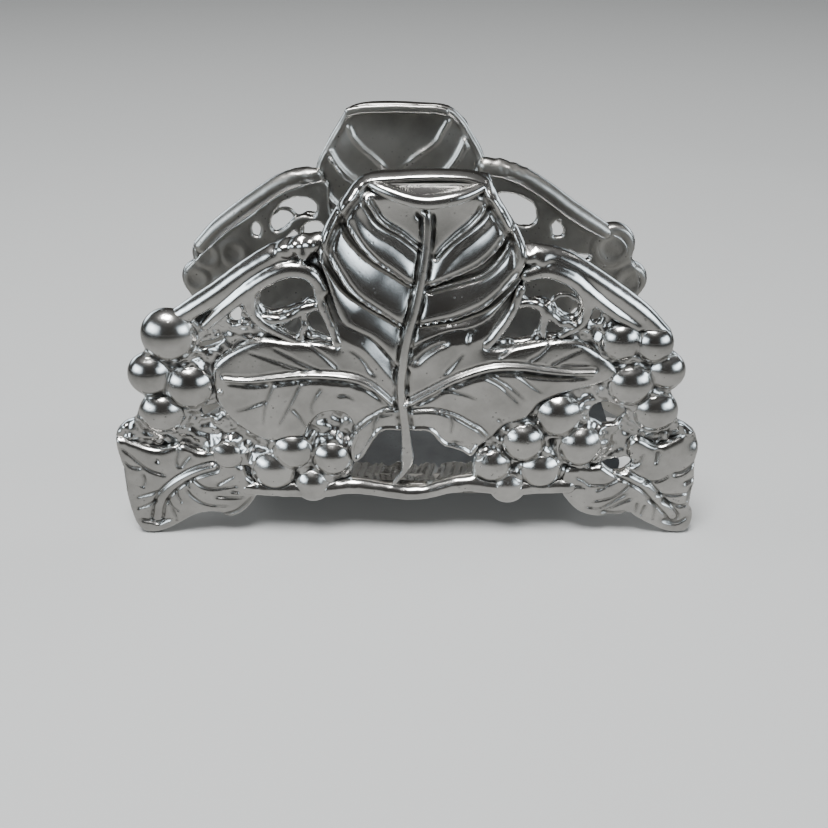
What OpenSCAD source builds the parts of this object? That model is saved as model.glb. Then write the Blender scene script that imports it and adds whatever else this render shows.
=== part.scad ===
// Upright napkin holder: two openwork cast panels of vine leaves and grapes, back to back on a base plate.
// Each panel is drawn once, facing -Y, in its own plane: x runs across, z up, and depth out of the face.

/* [Panels] */
// Distance between the middle surfaces of the two panels
panel_gap = 67; // [58:1:80]
// How far each panel stands to the right of the middle, seen from its own front, which evens out its two tips
panel_shift = 1; // [0:0.1:3]
// Wall thickness of the cast leaves
wall = 3; // [2.6:0.1:3.4]
// How far the large leaf bulges out of its panel
leaf_bulge = 2.4; // [1.5:0.1:3]
// Size of every grape, as a share of its drawn size
grape_scale = 1; // [0.94:0.01:1.03]
// Thickness of the rough webs that back the grapes
web_thickness = 2.5; // [2:0.1:3]

/* [Base] */
// Thickness of the base plate
base_thickness = 3; // [2.5:0.1:4]
// Height of the base plate's underside above the table
base_height = 14; // [12:0.5:15]
// Length of the base plate along the panels
base_length = 136; // [110:1:150]
// Width of the weld fillet between the base plate and each panel
fillet_width = 5; // [4:0.5:7]
// How far the ground weld runs in over the base plate, from the panel's middle surface
fillet_reach = 14; // [8:0.5:14]

/* [Hidden] */

POLISHED = [0.80, 0.80, 0.79];
ROUGH = [0.55, 0.55, 0.54];
ball_fn = 12;          // facets round a vine
tall = 60;             // longer than any piece is deep
web_front = 0.5;       // depth of the webs' front face, where the grapes sit
weld_left = 49;        // the weld's ends, left and right of the panel's own middle
weld_right = 46;
weld_rise = 2.8;       // how far the weld climbs above the plate
weld_seat = 1;         // how far the weld is drawn into the bottom cane before the cane is cut out of it
leaf_centre = [-3, 64];
leaf_reach = 60;       // from the leaf's centre to its side tips
leaf_edge_depth = 1.6; // depth of the leaf's middle surface at those tips
leaf_radius = (pow(leaf_reach, 2) + pow(leaf_bulge, 2)) / (2 * leaf_bulge);

// ---- outlines, as [x, z] -----------------------------------------------------------------------------

LEAF = [
    [-13, 117], [-4, 118], [6, 118.4], [14, 118], [18.8, 116.4], [20.8, 114], [22.4, 111.3], [26.2, 105],
    [29.6, 98.5], [30, 92], [29, 85], [26.5, 78], [22.5, 72], [20.5, 67.5], [25, 66.5], [32, 67.5],
    [40, 68.8],
    [47, 68], [53, 64], [58.5, 59.5], [57, 56], [51, 53.5], [44, 51.5], [37, 48], [33.5, 43],
    [27.5, 41], [24, 37], [20, 33], [17.5, 29.6], [14.4, 31.5], [11.5, 32.7], [8.9, 33.6], [6.9, 35.6],
    [5.2, 38], [3, 39.2], [-3, 39], [-7, 39.4], [-9.5, 38.9], [-11.2, 36.6], [-13.2, 33.2],
    [-15.5, 29.2], [-18.5, 27.5], [-20, 33], [-18, 40], [-21, 45], [-27, 45], [-31, 41],
    [-33, 37], [-38, 36], [-44, 35], [-50, 38], [-55, 43], [-58, 49], [-58.5, 57], [-57, 62],
    [-50, 67], [-43, 69], [-35, 68], [-27, 68.5], [-22, 67.5], [-22.5, 73], [-25, 80], [-25, 87],
    [-26.5, 94], [-24.5, 102], [-21, 108], [-18, 112.5]
];
FOOT_LEFT = [
    [-90, 35.5], [-90.4, 31], [-89.8, 26], [-90, 20], [-89.8, 13], [-89.2, 6.5], [-88.2, 2], [-86.2, -0.4],
    [-83.5, -1], [-80.6, -0.4], [-77.2, 1.8], [-73.8, 4.2], [-70.8, 6.2], [-67.5, 7.7], [-63.8, 8.2],
    [-60, 6.6], [-57, 6.5], [-53.8, 8.2], [-51, 11.6], [-49, 16], [-49.8, 20.6], [-52.6, 25.2],
    [-55.6, 28.4], [-59.6, 31.4], [-64.5, 31.2], [-69.5, 33], [-76, 32.4], [-82, 33.2], [-86.6, 35]
];
FOOT_RIGHT = [
    [86.6, 33], [86.4, 28], [86.8, 22], [87.1, 18.5], [86.8, 13.5], [87.1, 10], [88.4, 7], [88.4, 3.5],
    [87, 0.6], [84.8, -0.6], [82, -1], [79.2, -0.4], [76.4, 2.2], [73.6, 3.9], [70.6, 5.9], [67.8, 7.9],
    [65, 7.1], [61, 6.9], [57.6, 6.4], [54, 7.3], [50.6, 9.5], [47.8, 12.8], [46.1, 16.5], [45.9, 21],
    [47.6, 25.2], [52, 25.3], [56.5, 26], [60.5, 24.2], [64.6, 24.4], [66.6, 26.6], [65.2, 31.5],
    [66.6, 36], [70, 35.2], [74, 33.5], [78, 35], [81, 36.8], [83.6, 37.6], [85.6, 35.6]
];
WEB_LEFT_TOP = [[-66, 76], [-73, 60], [-60, 57], [-57, 62], [-47, 68.5], [-46, 73], [-50, 81], [-56, 79]];
WEB_LEFT_LOW = [
    [-84, 42], [-77, 49], [-72, 55], [-58, 50], [-54, 42], [-47, 37], [-40, 35.5], [-31, 38], [-25, 42],
    [-19, 38], [-19, 21], [-36, 20], [-50, 20], [-58, 32], [-66, 29], [-84, 29], [-89.5, 33],
    [-89.6, 36.5], [-87.5, 39.5]
];
WEB_RIGHT_TOP = [[48, 81], [57, 76], [66, 72], [73, 66], [72, 58], [62, 56], [57, 61], [51, 66], [47, 73]];
WEB_RIGHT_LOW = [
    [79, 41.5], [77, 48], [70, 56], [60, 55], [52, 53], [42, 50], [32, 42], [21, 32], [18, 24],
    [24, 20], [46, 20], [56, 27], [64, 29], [82, 30], [85.5, 33], [84.6, 36.6], [82, 39.4]
];

// Openings right through the webs, as [x, z, radius along x, radius along z]
HOLES_LEFT = [[-60.3, 45, 3, 2.4], [-51.5, 76, 2.2, 2.6], [-60, 67.5, 2.6, 1.4]];
HOLES_RIGHT = [[57.6, 44.2, 4.6, 3.6], [51.5, 76, 1.8, 2.6]];

// ---- grapes, as [x, z, radius] -----------------------------------------------------------------------

GRAPES_LEFT = [
    [-70, 70, 8.2], [-77.1, 57.3, 6.9], [-66, 53.5, 7.7], [-75.2, 44.4, 7], [-57, 29.5, 5.1],
    [-43, 24, 6.9], [-37, 31, 6.5], [-31.5, 18.3, 6.3], [-25, 28.3, 6.5]
];
GRAPES_RIGHT = [
    [59.5, 68, 6], [69, 67.2, 5.9], [73.6, 58.4, 5.9], [63.5, 54, 7.1], [72, 44.8, 6.6],
    [43.2, 43.4, 7.1], [50.5, 32.8, 7.1], [33.2, 34.2, 7.1], [39, 24, 6.7], [24, 25.5, 6.1], [29.3, 17.3, 5.9]
];
grape_rise = 0.72;      // how far a grape stands out of its web, as a share of its radius

// ---- canes, as lists of [x, z, depth, radius] --------------------------------------------------------

ARCH_LEFT = [[-26, 98, 1, 2.7], [-31, 96.9, 1, 3], [-38, 94.4, 1, 3.1], [-46, 89.5, 1, 3.1],
    [-54, 83.6, 1, 3.1], [-61, 79, 1, 3], [-67, 75.2, 1, 2.8]];
BAND_LEFT = [[-58, 74, 1.5, 1.7], [-51, 81.5, 1.5, 2.3], [-43, 87, 1.8, 2.6], [-35, 90.5, 2, 2.7],
    [-28.5, 89.5, 2, 2.4], [-25.5, 84, 2, 1.9]];
LOOP_LEFT = [[-44.5, 84.5, 1.5, 2], [-45.8, 79, 1.5, 2], [-43.5, 74.5, 1.5, 1.9], [-38, 71.5, 1.5, 1.8],
    [-32, 68.5, 1.5, 1.6]];
ARCH_RIGHT = [[30.5, 94.8, 1, 2.7], [36, 94.1, 1, 3], [42.5, 91.8, 1, 3.1], [50, 87.1, 1, 3.1],
    [58, 81.5, 1, 3.1], [65, 76.1, 1, 3], [71, 70.2, 1, 2.8]];
BAND_RIGHT = [[30.5, 88, 2, 2], [36, 89.8, 2, 2.4], [42, 87.5, 2, 2.5], [48, 82.8, 1.8, 2.3],
    [55.5, 77.5, 1.5, 2.1], [63, 73, 1.5, 1.8]];
LOOP_RIGHT = [[47, 82, 1.5, 1.9], [48.5, 77.5, 1.5, 1.8], [46.5, 73, 1.5, 1.8], [41, 70, 1.5, 1.7]];
BOTTOM = [[-50, 17.2, 1.2, 2.5], [-42, 16.9, 1.2, 2.8], [-34, 16.9, 1.2, 3], [-26, 17, 1.2, 3],
    [-18, 17.8, 1.2, 2.7], [-10, 16.5, 1.2, 2.5], [-2, 15.2, 1.2, 2.5], [4, 15.6, 1.2, 2.4],
    [10, 17.6, 1.2, 2.6], [17, 19, 1.2, 2.9], [23, 18.2, 1.2, 2.9], [30, 17.4, 1.2, 2.8],
    [38, 17.8, 1.2, 2.7], [46.5, 18, 1.2, 2.5]];
STALK = [[3.4, 106.2, 3.7, 1.2], [3.4, 99, 4.3, 1.2], [2.4, 91, 4.7, 1.3], [0.8, 82, 4.9, 1.35],
    [-1.4, 73.5, 5.1, 1.4], [-3.2, 64, 5.2, 1.4], [-3.8, 54, 5.1, 1.4], [-3.1, 47, 4.9, 1.45],
    [-2.5, 40, 4.5, 1.6], [-2.1, 34, 3.9, 1.9], [-2, 30, 3.5, 2.1], [-2.4, 26, 2.8, 1.5],
    [-4.2, 22.4, 2.2, 1.1], [-5.8, 19.6, 2, 0.9]];
LIP_BACK = [[-13, 115.3, 1.7, 1.5], [-8, 115.9, 1.7, 1.6], [-3, 116.1, 1.7, 1.7], [3.5, 116.2, 1.7, 1.7],
    [9, 116.1, 1.7, 1.7], [14, 115.9, 1.7, 1.6], [19.4, 115.2, 1.7, 1.5]];
LIP_FRONT = [[-12.4, 115, 2.6, 1.2], [-8, 114, 5.2, 1.5], [-3, 112.5, 6.9, 1.75], [3.5, 111.6, 7.6, 1.85],
    [9, 112.1, 7.2, 1.8], [14, 113.2, 5.8, 1.6], [18.8, 114.8, 2.8, 1.2]];
RIM_LEFT = [[-13.5, 114.8, 2, 1.8], [-18.3, 110.5, 1.8, 1.7], [-22, 104.5, 1.6, 1.7]];
RIM_RIGHT = [[18.2, 114.8, 2, 1.8], [21.3, 109.5, 1.8, 1.7], [24.6, 104, 1.6, 1.7], [27, 100.8, 1.6, 1.7]];
VEIN_LEFT = [[-7.7, 51.2, 4.8, 1.2], [-12.1, 55.2, 4.6, 1.3], [-19.2, 58.1, 4.4, 1.3], [-31, 58.7, 4, 1.3],
    [-42, 57.4, 3.4, 1.2], [-52, 56.8, 2.8, 1]];
VEIN_RIGHT = [[-1.2, 50, 4.8, 1.2], [6.6, 54.6, 4.7, 1.3], [14.5, 58.6, 4.5, 1.3], [24.4, 61.2, 4.1, 1.3],
    [38, 60.2, 3.3, 1.1], [51, 59, 2.6, 1]];
FOOT_VEIN_LEFT = [[-62.5, 26, 3.3, 1], [-69.4, 22.9, 3.4, 1.1], [-75, 18.8, 3.5, 1.1], [-79, 13.5, 3.5, 1.1],
    [-81.2, 5.5, 3.6, 1]];
FOOT_VEIN_RIGHT = [[64.5, 23, 3.3, 1], [69.8, 20.2, 3.4, 1.1], [74.4, 15.9, 3.5, 1.1], [78.4, 11.3, 3.5, 1.1],
    [81.6, 6.8, 3.6, 1]];
TENDRIL_LEFT = [[-43.5, 73.8, 1.4, 1], [-39.5, 74.8, 1.8, 1.1], [-35, 76.8, 2, 1.2], [-30.5, 77.2, 2, 1.2],
    [-27, 80.5, 1.8, 1.1]];
TENDRIL_LEFT_DOWN = [[-31, 76.5, 2, 1.1], [-32.5, 72.5, 1.8, 1], [-32.3, 69.5, 1.5, 1]];
TENDRIL_RIGHT = [[30.2, 78, 1.6, 1.1], [33.5, 80, 2, 1.2], [37.5, 77.5, 2, 1.2], [41, 73.5, 2, 1.2],
    [45, 73.2, 1.6, 1.1]];
TENDRIL_RIGHT_DOWN = [[36.8, 77.5, 2, 1.1], [35.5, 73, 1.8, 1], [33.5, 69, 1.5, 1]];

// ---- curves ------------------------------------------------------------------------------------------

// A point on the smooth curve from b to c, which passes a and d on either side
function along(a, b, c, d, t) =
    0.5 * (2 * b + (c - a) * t + (2 * a - 5 * b + 4 * c - d) * t * t + (3 * b - a - 3 * c + d) * t * t * t);

// A closed outline with `steps` points for each point given
function rounded(points, steps = 2) = [
    for (i = [0:len(points) - 1], k = [0:steps - 1])
        let (n = len(points))
        along(points[(i + n - 1) % n], points[i], points[(i + 1) % n], points[(i + 2) % n], k / steps)
];

// ---- shared shapes -----------------------------------------------------------------------------------

module ball(p) {
    translate([p[0], -p[2], p[1]]) sphere(r = p[3], $fn = ball_fn);
}

module cane(path) {
    for (i = [0:len(path) - 2]) hull() {
        ball(path[i]);
        ball(path[i + 1]);
    }
}

// A sheet of even thickness spanning two paths that have the same number of points
module flap(back, front) {
    for (i = [0:len(back) - 2]) hull() {
        ball(back[i]);
        ball(back[i + 1]);
        ball(front[i]);
        ball(front[i + 1]);
    }
}

// A flat shape of the panel's plane, from one depth to another
module slab(from, to) {
    translate([0, -from, 0]) rotate([90, 0, 0]) linear_extrude(to - from) children();
}

module cane_plan(path) {
    for (i = [0:len(path) - 2]) hull() {
        translate([path[i][0], path[i][1]]) circle(r = path[i][3], $fn = 16);
        translate([path[i + 1][0], path[i + 1][1]]) circle(r = path[i + 1][3], $fn = 16);
    }
}

module grape_plan(grapes) {
    for (g = grapes) translate([g[0], g[1]]) circle(r = g[2] * grape_scale, $fn = 40);
}

module canes_plan() {
    for (path = [ARCH_LEFT, BAND_LEFT, LOOP_LEFT, ARCH_RIGHT, BAND_RIGHT, LOOP_RIGHT]) cane_plan(path);
}

// A ball whose surface is the leaf's middle surface, grown by `by`
module leaf_ball(by) {
    translate([leaf_centre[0], leaf_radius - leaf_edge_depth - leaf_bulge, leaf_centre[1]])
        sphere(r = leaf_radius + by, $fn = 400);
}

// ---- one panel's pieces ------------------------------------------------------------------------------

// The large leaf is a plate of even thickness, domed like part of a very large ball
module leaf() {
    color(POLISHED) difference() {
        intersection() {
            slab(-tall / 2, tall / 2) difference() {
                polygon(rounded(LEAF));
                canes_plan();
                grape_plan(GRAPES_LEFT);
                grape_plan(GRAPES_RIGHT);
            }
            leaf_ball(wall / 2);
        }
        leaf_ball(-wall / 2);
    }
}

// The tip folds outwards, its sides end in raised rims, and two side veins stand proud
module leaf_ribs() {
    color(POLISHED) {
        flap(LIP_BACK, LIP_FRONT);
        for (path = [RIM_LEFT, RIM_RIGHT, VEIN_LEFT, VEIN_RIGHT]) cane(path);
    }
}

module leaf_stalk() {
    color(POLISHED) difference() {
        cane(STALK);
        cane(BOTTOM);
    }
}

module vine_left() {
    color(POLISHED) difference() {
        union() {
            cane(ARCH_LEFT);
            cane(BAND_LEFT);
            cane(LOOP_LEFT);
        }
        slab(-tall / 2, tall / 2) grape_plan(GRAPES_LEFT);
    }
}

module vine_right() {
    color(POLISHED) difference() {
        union() {
            cane(ARCH_RIGHT);
            cane(BAND_RIGHT);
            cane(LOOP_RIGHT);
        }
        slab(-tall / 2, tall / 2) grape_plan(GRAPES_RIGHT);
    }
}

module bottom_vine() {
    color(POLISHED) difference() {
        cane(BOTTOM);
        slab(-tall / 2, tall / 2) {
            grape_plan(GRAPES_LEFT);
            grape_plan(GRAPES_RIGHT);
        }
    }
}

module tendrils() {
    color(ROUGH) difference() {
        for (path = [TENDRIL_LEFT, TENDRIL_LEFT_DOWN, TENDRIL_RIGHT, TENDRIL_RIGHT_DOWN]) cane(path);
        slab(-tall / 2, tall / 2) {
            canes_plan();
            polygon(rounded(LEAF));
        }
    }
}

// Each grape is a cap of a ball, seated on its web; the ball's centre lies behind the cap
module grape_balls(grapes) {
    for (g = grapes) {
        edge = g[2] * grape_scale;
        rise = edge * grape_rise;
        radius = (pow(edge, 2) + pow(rise, 2)) / (2 * rise);
        translate([g[0], radius - rise - web_front, g[1]]) rotate([90, 0, 0]) sphere(r = radius, $fn = 48);
    }
}

module grapes(list) {
    color(POLISHED) difference() {
        grape_balls(list);
        translate([-tall * 2, -web_front, -tall]) cube([tall * 4, tall, tall * 4]);
    }
}

module web(outlines, holes) {
    color(ROUGH) slab(web_front - web_thickness, web_front) difference() {
        for (outline = outlines) polygon(rounded(outline));
        for (h = holes) translate([h[0], h[1]]) scale([h[2], h[3]]) circle(r = 1, $fn = 32);
        canes_plan();
        cane_plan(BOTTOM);
        polygon(rounded(LEAF));
        polygon(rounded(FOOT_LEFT));
        polygon(rounded(FOOT_RIGHT));
    }
}

module foot_leaf(outline, vein, grapes) {
    color(POLISHED) difference() {
        union() {
            slab(0.8, 0.8 + wall) polygon(rounded(outline));
            cane(vein);
        }
        slab(-tall / 2, tall / 2) {
            grape_plan(grapes);
            cane_plan(BOTTOM);
        }
        translate([-tall * 2, -tall, -tall]) cube([tall * 4, tall * 2, tall]);
    }
}

// The ground weld rises from the base plate's margin to the bottom cane, in the panel's own place
module base_weld() {
    plate_top = base_height + base_thickness;
    color(ROUGH) difference() {
        translate([-weld_left, 0, 0]) rotate([90, 0, 90]) linear_extrude(weld_left + weld_right) polygon([
            [-weld_seat, base_height], [fillet_width, base_height], [fillet_width, plate_top],
            [fillet_reach, plate_top], [-weld_seat, plate_top + weld_rise]
        ]);
        cane(BOTTOM);
        slab(web_front - web_thickness, tall / 2) square([4 * tall, 2 * tall], center = true);
    }
}

// ---- base --------------------------------------------------------------------------------------------

base_width = panel_gap - 2 * fillet_width;
base_corner = 10;

module base_plate() {
    color(POLISHED) translate([0, 0, base_height]) {
        cube_length = base_length - 2 * base_corner;
        translate([-cube_length / 2, -base_width / 2, 0]) cube([cube_length, base_width, base_thickness]);
        translate([-base_length / 2, -base_width / 2 + base_corner, 0])
            cube([base_length, base_width - 2 * base_corner, base_thickness]);
        for (x = [-1, 1], y = [-1, 1])
            translate([x * cube_length / 2, y * (base_width / 2 - base_corner), 0])
                cylinder(r = base_corner, h = base_thickness, $fn = 48);
    }
}

// ---- assembly ----------------------------------------------------------------------------------------

module panel_piece(name) {
    if (name == "leaf") leaf();
    if (name == "leaf_ribs") leaf_ribs();
    if (name == "leaf_stalk") leaf_stalk();
    if (name == "vine_left") vine_left();
    if (name == "vine_right") vine_right();
    if (name == "bottom_vine") bottom_vine();
    if (name == "tendrils") tendrils();
    if (name == "grapes_left") grapes(GRAPES_LEFT);
    if (name == "grapes_right") grapes(GRAPES_RIGHT);
    if (name == "web_left") web([WEB_LEFT_TOP, WEB_LEFT_LOW], HOLES_LEFT);
    if (name == "web_right") web([WEB_RIGHT_TOP, WEB_RIGHT_LOW], HOLES_RIGHT);
    if (name == "foot_leaf_left") foot_leaf(FOOT_LEFT, FOOT_VEIN_LEFT, GRAPES_LEFT);
    if (name == "foot_leaf_right") foot_leaf(FOOT_RIGHT, FOOT_VEIN_RIGHT, GRAPES_RIGHT);
    if (name == "base_weld") base_weld();
}

module placed(side, name) {
    rotate([0, 0, side == "front" ? 0 : 180]) translate([panel_shift, -panel_gap / 2, 0])
        panel_piece(name);
}

placed("front", "leaf");  // front_leaf
placed("front", "leaf_ribs");  // front_leaf_ribs
placed("front", "leaf_stalk");  // front_leaf_stalk
placed("front", "vine_left");  // front_vine_left
placed("front", "vine_right");  // front_vine_right
placed("front", "bottom_vine");  // front_bottom_vine
placed("front", "tendrils");  // front_tendrils
placed("front", "grapes_left");  // front_grapes_left
placed("front", "grapes_right");  // front_grapes_right
placed("front", "web_left");  // front_web_left
placed("front", "web_right");  // front_web_right
placed("front", "foot_leaf_left");  // front_foot_leaf_left
placed("front", "foot_leaf_right");  // front_foot_leaf_right
placed("front", "base_weld");  // front_base_weld
placed("back", "leaf");  // back_leaf
placed("back", "leaf_ribs");  // back_leaf_ribs
placed("back", "leaf_stalk");  // back_leaf_stalk
placed("back", "vine_left");  // back_vine_left
placed("back", "vine_right");  // back_vine_right
placed("back", "bottom_vine");  // back_bottom_vine
placed("back", "tendrils");  // back_tendrils
placed("back", "grapes_left");  // back_grapes_left
placed("back", "grapes_right");  // back_grapes_right
placed("back", "web_left");  // back_web_left
placed("back", "web_right");  // back_web_right
placed("back", "foot_leaf_left");  // back_foot_leaf_left
placed("back", "foot_leaf_right");  // back_foot_leaf_right
placed("back", "base_weld");  // back_base_weld
base_plate();
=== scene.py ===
"""Cast aluminium napkin holder: two relief panels of leaves and grapes on a base plate.

Each panel is built as one signed distance field in its own plane (x across, z up, t out of the face, in mm),
then cut into the pieces of the CAD model where one ornament meets the next.
"""

import math

import bpy
import numpy as np
import openvdb as vdb
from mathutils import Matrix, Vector


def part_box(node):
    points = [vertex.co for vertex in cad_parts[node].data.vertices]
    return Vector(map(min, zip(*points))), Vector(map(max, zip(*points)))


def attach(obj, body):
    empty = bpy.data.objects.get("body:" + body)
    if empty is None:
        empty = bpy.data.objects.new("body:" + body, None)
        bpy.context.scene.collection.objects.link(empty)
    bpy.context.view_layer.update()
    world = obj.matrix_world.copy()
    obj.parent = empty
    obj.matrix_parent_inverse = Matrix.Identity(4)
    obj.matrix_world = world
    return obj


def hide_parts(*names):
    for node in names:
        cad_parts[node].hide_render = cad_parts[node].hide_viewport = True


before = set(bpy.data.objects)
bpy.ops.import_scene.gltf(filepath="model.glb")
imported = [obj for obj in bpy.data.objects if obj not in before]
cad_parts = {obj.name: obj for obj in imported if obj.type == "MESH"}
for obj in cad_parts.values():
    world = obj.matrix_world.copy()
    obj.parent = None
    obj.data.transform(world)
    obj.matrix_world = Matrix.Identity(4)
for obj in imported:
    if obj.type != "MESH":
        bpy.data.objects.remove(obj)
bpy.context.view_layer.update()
MM = 0.001

# ---- the frame's own sizes ---------------------------------------------------------------------
plate_lo, plate_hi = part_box("base_plate")
PLATE_TOP = plate_hi.z / MM
PLATE_LOW = plate_lo.z / MM
PLATE_HALF_X = plate_hi.x / MM
PLATE_HALF_Y = plate_hi.y / MM
web_lo, web_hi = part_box("front_web_left")
WEB_FRONT, WEB_THICK = 0.5, (web_hi.y - web_lo.y) / MM
PANEL_Y = web_lo.y / MM + WEB_FRONT          # the front panel's middle surface
weld_lo, weld_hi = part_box("front_base_weld")
WELD_LEFT, WELD_RIGHT = 49.0, 46.0           # the weld's ends, left and right of the panel's own x = 0
SHIFT_X = (weld_hi.x / MM - WELD_RIGHT + weld_lo.x / MM + WELD_LEFT) / 2   # that x = 0, in the shared frame

# ---- the voxel grid ----------------------------------------------------------------------------
STEP = 0.46
LO = np.array([-97.0, -1.8, -7.6])
HI = np.array([95.5, 120.4, 12.4])
COUNT = np.ceil((HI - LO) / STEP).astype(int) + 1
XS, ZS, TS = ((LO[i] + STEP * np.arange(COUNT[i], dtype=np.float32)).astype(np.float32) for i in range(3))
X2, Z2 = np.meshgrid(XS, ZS, indexing="ij")
T3 = TS[None, None, :]
FAR = 6.0                                    # what a field holds away from its solid
UPPER_LOBE = (-34, 38, 56, 121)              # x and z limits of the large leaf's upper lobe


# ---- curves and flat maps ----------------------------------------------------------------------
def smooth_path(points, steps=5, closed=False):
    """Catmull-Rom through the points, whatever their number of coordinates."""
    p = np.array(points, float)
    if closed:
        p = np.concatenate([p[-1:], p, p[:2]])
    else:
        p = np.concatenate([2 * p[:1] - p[1:2], p, 2 * p[-1:] - p[-2:-1]])
    t = (np.arange(steps) / steps)[:, None]
    out = []
    for a, b, c, d in zip(p, p[1:], p[2:], p[3:]):
        square = (2 * a - 5 * b + 4 * c - d) * t**2
        cube = (3 * b - a - 3 * c + d) * t**3
        out.append(0.5 * (2 * b + (c - a) * t + square + cube))
    out = np.concatenate(out)
    return out if closed else np.concatenate([out, p[-2:-1]])


def flat_window(lo_x, hi_x, lo_z, hi_z):
    i0, i1 = np.searchsorted(XS, [lo_x, hi_x])
    j0, j1 = np.searchsorted(ZS, [lo_z, hi_z])
    return slice(max(i0 - 1, 0), i1 + 1), slice(max(j0 - 1, 0), j1 + 1)


def segment_gap(x, z, a, b):
    """Squared distance to a flat segment, and the share of its length at the nearest point."""
    ex, ez = b - a
    s = np.clip(((x - a[0]) * ex + (z - a[1]) * ez) / max(ex * ex + ez * ez, 1e-9), 0, 1)
    return (x - a[0] - s * ex) ** 2 + (z - a[1] - s * ez) ** 2, s


def outline(points, steps=4, reach=7.0):
    """Flat signed distance to a closed outline, negative inside."""
    p = smooth_path(points, steps, closed=True)
    out = np.full(X2.shape, reach, np.float32)
    (x0, z0), (x1, z1) = p.min(0) - reach, p.max(0) + reach
    w = flat_window(x0, x1, z0, z1)
    x, z = X2[w], Z2[w]
    best = np.full(x.shape, 1e9, np.float32)
    inside = np.zeros(x.shape, bool)
    for a, b in zip(p, np.roll(p, -1, 0)):
        ex, ez = b - a
        best = np.minimum(best, segment_gap(x, z, a, b)[0])
        if ez != 0:
            inside ^= ((a[1] > z) != (b[1] > z)) & (x < a[0] + (z - a[1]) * ex / ez)
    d = np.sqrt(best)
    out[w] = np.minimum(np.where(inside, -d, d), reach)
    return out


def side_of(points, steps=4, grow=14.0):
    """Signed flat distance to a path grown straight at both ends; positive above it."""
    p = smooth_path(points, steps)
    first_leg, last_leg = p[0] - p[1], p[-1] - p[-2]
    p = np.concatenate([[p[0] + first_leg * grow / np.hypot(*first_leg)], p,
                        [p[-1] + last_leg * grow / np.hypot(*last_leg)]])
    w = flat_window(*UPPER_LOBE)
    x, z = X2[w], Z2[w]
    best, side = np.full(x.shape, 1e9, np.float32), np.zeros(x.shape, np.float32)
    for a, b in zip(p, p[1:]):
        ex, ez = b - a
        d = segment_gap(x, z, a, b)[0]
        turn = np.sign(ex * (z - a[1]) - ez * (x - a[0])) * (1 if ex > 0 else -1)
        side = np.where(d < best, turn, side)
        best = np.minimum(best, d)
    out = np.zeros(X2.shape, np.float32)
    out[w] = side * np.sqrt(best)
    return out


def line_map(points, steps=5, reach=7.0):
    """Flat distance to an open path, and the share of its length at the nearest point."""
    p = smooth_path([q[:2] for q in points], steps)
    length = np.concatenate([[0], np.cumsum(np.hypot(*np.diff(p, axis=0).T))])
    d, u = np.full(X2.shape, reach, np.float32), np.zeros(X2.shape, np.float32)
    for i, (a, b) in enumerate(zip(p, p[1:])):
        (x0, z0), (x1, z1) = np.minimum(a, b) - reach, np.maximum(a, b) + reach
        w = flat_window(x0, x1, z0, z1)
        square, s = segment_gap(X2[w], Z2[w], a, b)
        new = np.sqrt(square)
        closer = new < d[w]
        d[w] = np.where(closer, new, d[w])
        u[w] = np.where(closer, (length[i] + s * (length[i + 1] - length[i])) / length[-1], u[w])
    return d, u


def bell(d, width):
    return np.exp(-((d / width) ** 2))


def smin(a, b, k):
    h = np.maximum(k - np.abs(a - b), 0) / k
    return np.minimum(a, b) - h * h * (k / 4)


def smax(a, b, k):
    return -smin(-a, -b, k)


def blur(a, sigma, axes):
    """Gaussian blur along the axes; sigma in mm."""
    r = max(1, int(round(3 * sigma / STEP)))
    kernel = np.exp(-0.5 * (np.arange(-r, r + 1) * STEP / sigma) ** 2)
    kernel = (kernel / kernel.sum()).astype(np.float32)
    for axis in axes:
        padded = np.pad(a, [(r, r) if i == axis else (0, 0) for i in range(a.ndim)], mode="edge")
        out = np.zeros_like(a)
        for i, weight in enumerate(kernel):
            at = [slice(None)] * a.ndim
            at[axis] = slice(i, i + a.shape[axis])
            out += weight * padded[tuple(at)]
        a = out
    return a


RNG = np.random.default_rng(20)


def grain(scale, axes=(0, 1)):
    """Smooth noise of unit spread with blobs of about `scale` mm."""
    shape = X2.shape if len(axes) == 2 else tuple(COUNT)
    n = blur(RNG.standard_normal(shape, dtype=np.float32), scale, axes)
    return n / n.std()


# ---- solids ------------------------------------------------------------------------------------
def new_field():
    return np.full(tuple(COUNT), FAR, np.float32)


def window(lo, hi):
    at = []
    for values, a, b in zip((XS, ZS, TS), lo, hi):
        i0, i1 = np.searchsorted(values, [a, b])
        at.append(slice(max(i0 - 1, 0), i1 + 1))
    return tuple(at)


def local(w):
    return XS[w[0]][:, None, None], ZS[w[1]][None, :, None], TS[w[2]][None, None, :]


def tube(field, points, k=0.5, steps=4, pad=3.5, bark=0.0, noise=None):
    """A cane along [x, z, depth, radius] points."""
    p = smooth_path(points, steps)
    own = new_field()
    for a, b in zip(p, p[1:]):
        r = max(a[3], b[3]) + pad
        w = window(np.minimum(a[:3], b[:3]) - r, np.maximum(a[:3], b[:3]) + r)
        x, z, t = local(w)
        e = (b - a)[:3]
        px, pz, pt = x - a[0], z - a[1], t - a[2]
        u = np.clip((px * e[0] + pz * e[1] + pt * e[2]) / max((e * e).sum(), 1e-9), 0, 1)
        off = np.sqrt((px - u * e[0]) ** 2 + (pz - u * e[1]) ** 2 + (pt - u * e[2]) ** 2)
        own[w] = np.minimum(own[w], off - (a[3] + u * (b[3] - a[3])))
    r = p[:, 3].max() + pad
    w = window(p[:, :3].min(0) - r, p[:, :3].max(0) + r)
    if bark:
        own[w] -= bark * noise[w]
    field[w] = smin(field[w], own[w], k)


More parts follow.
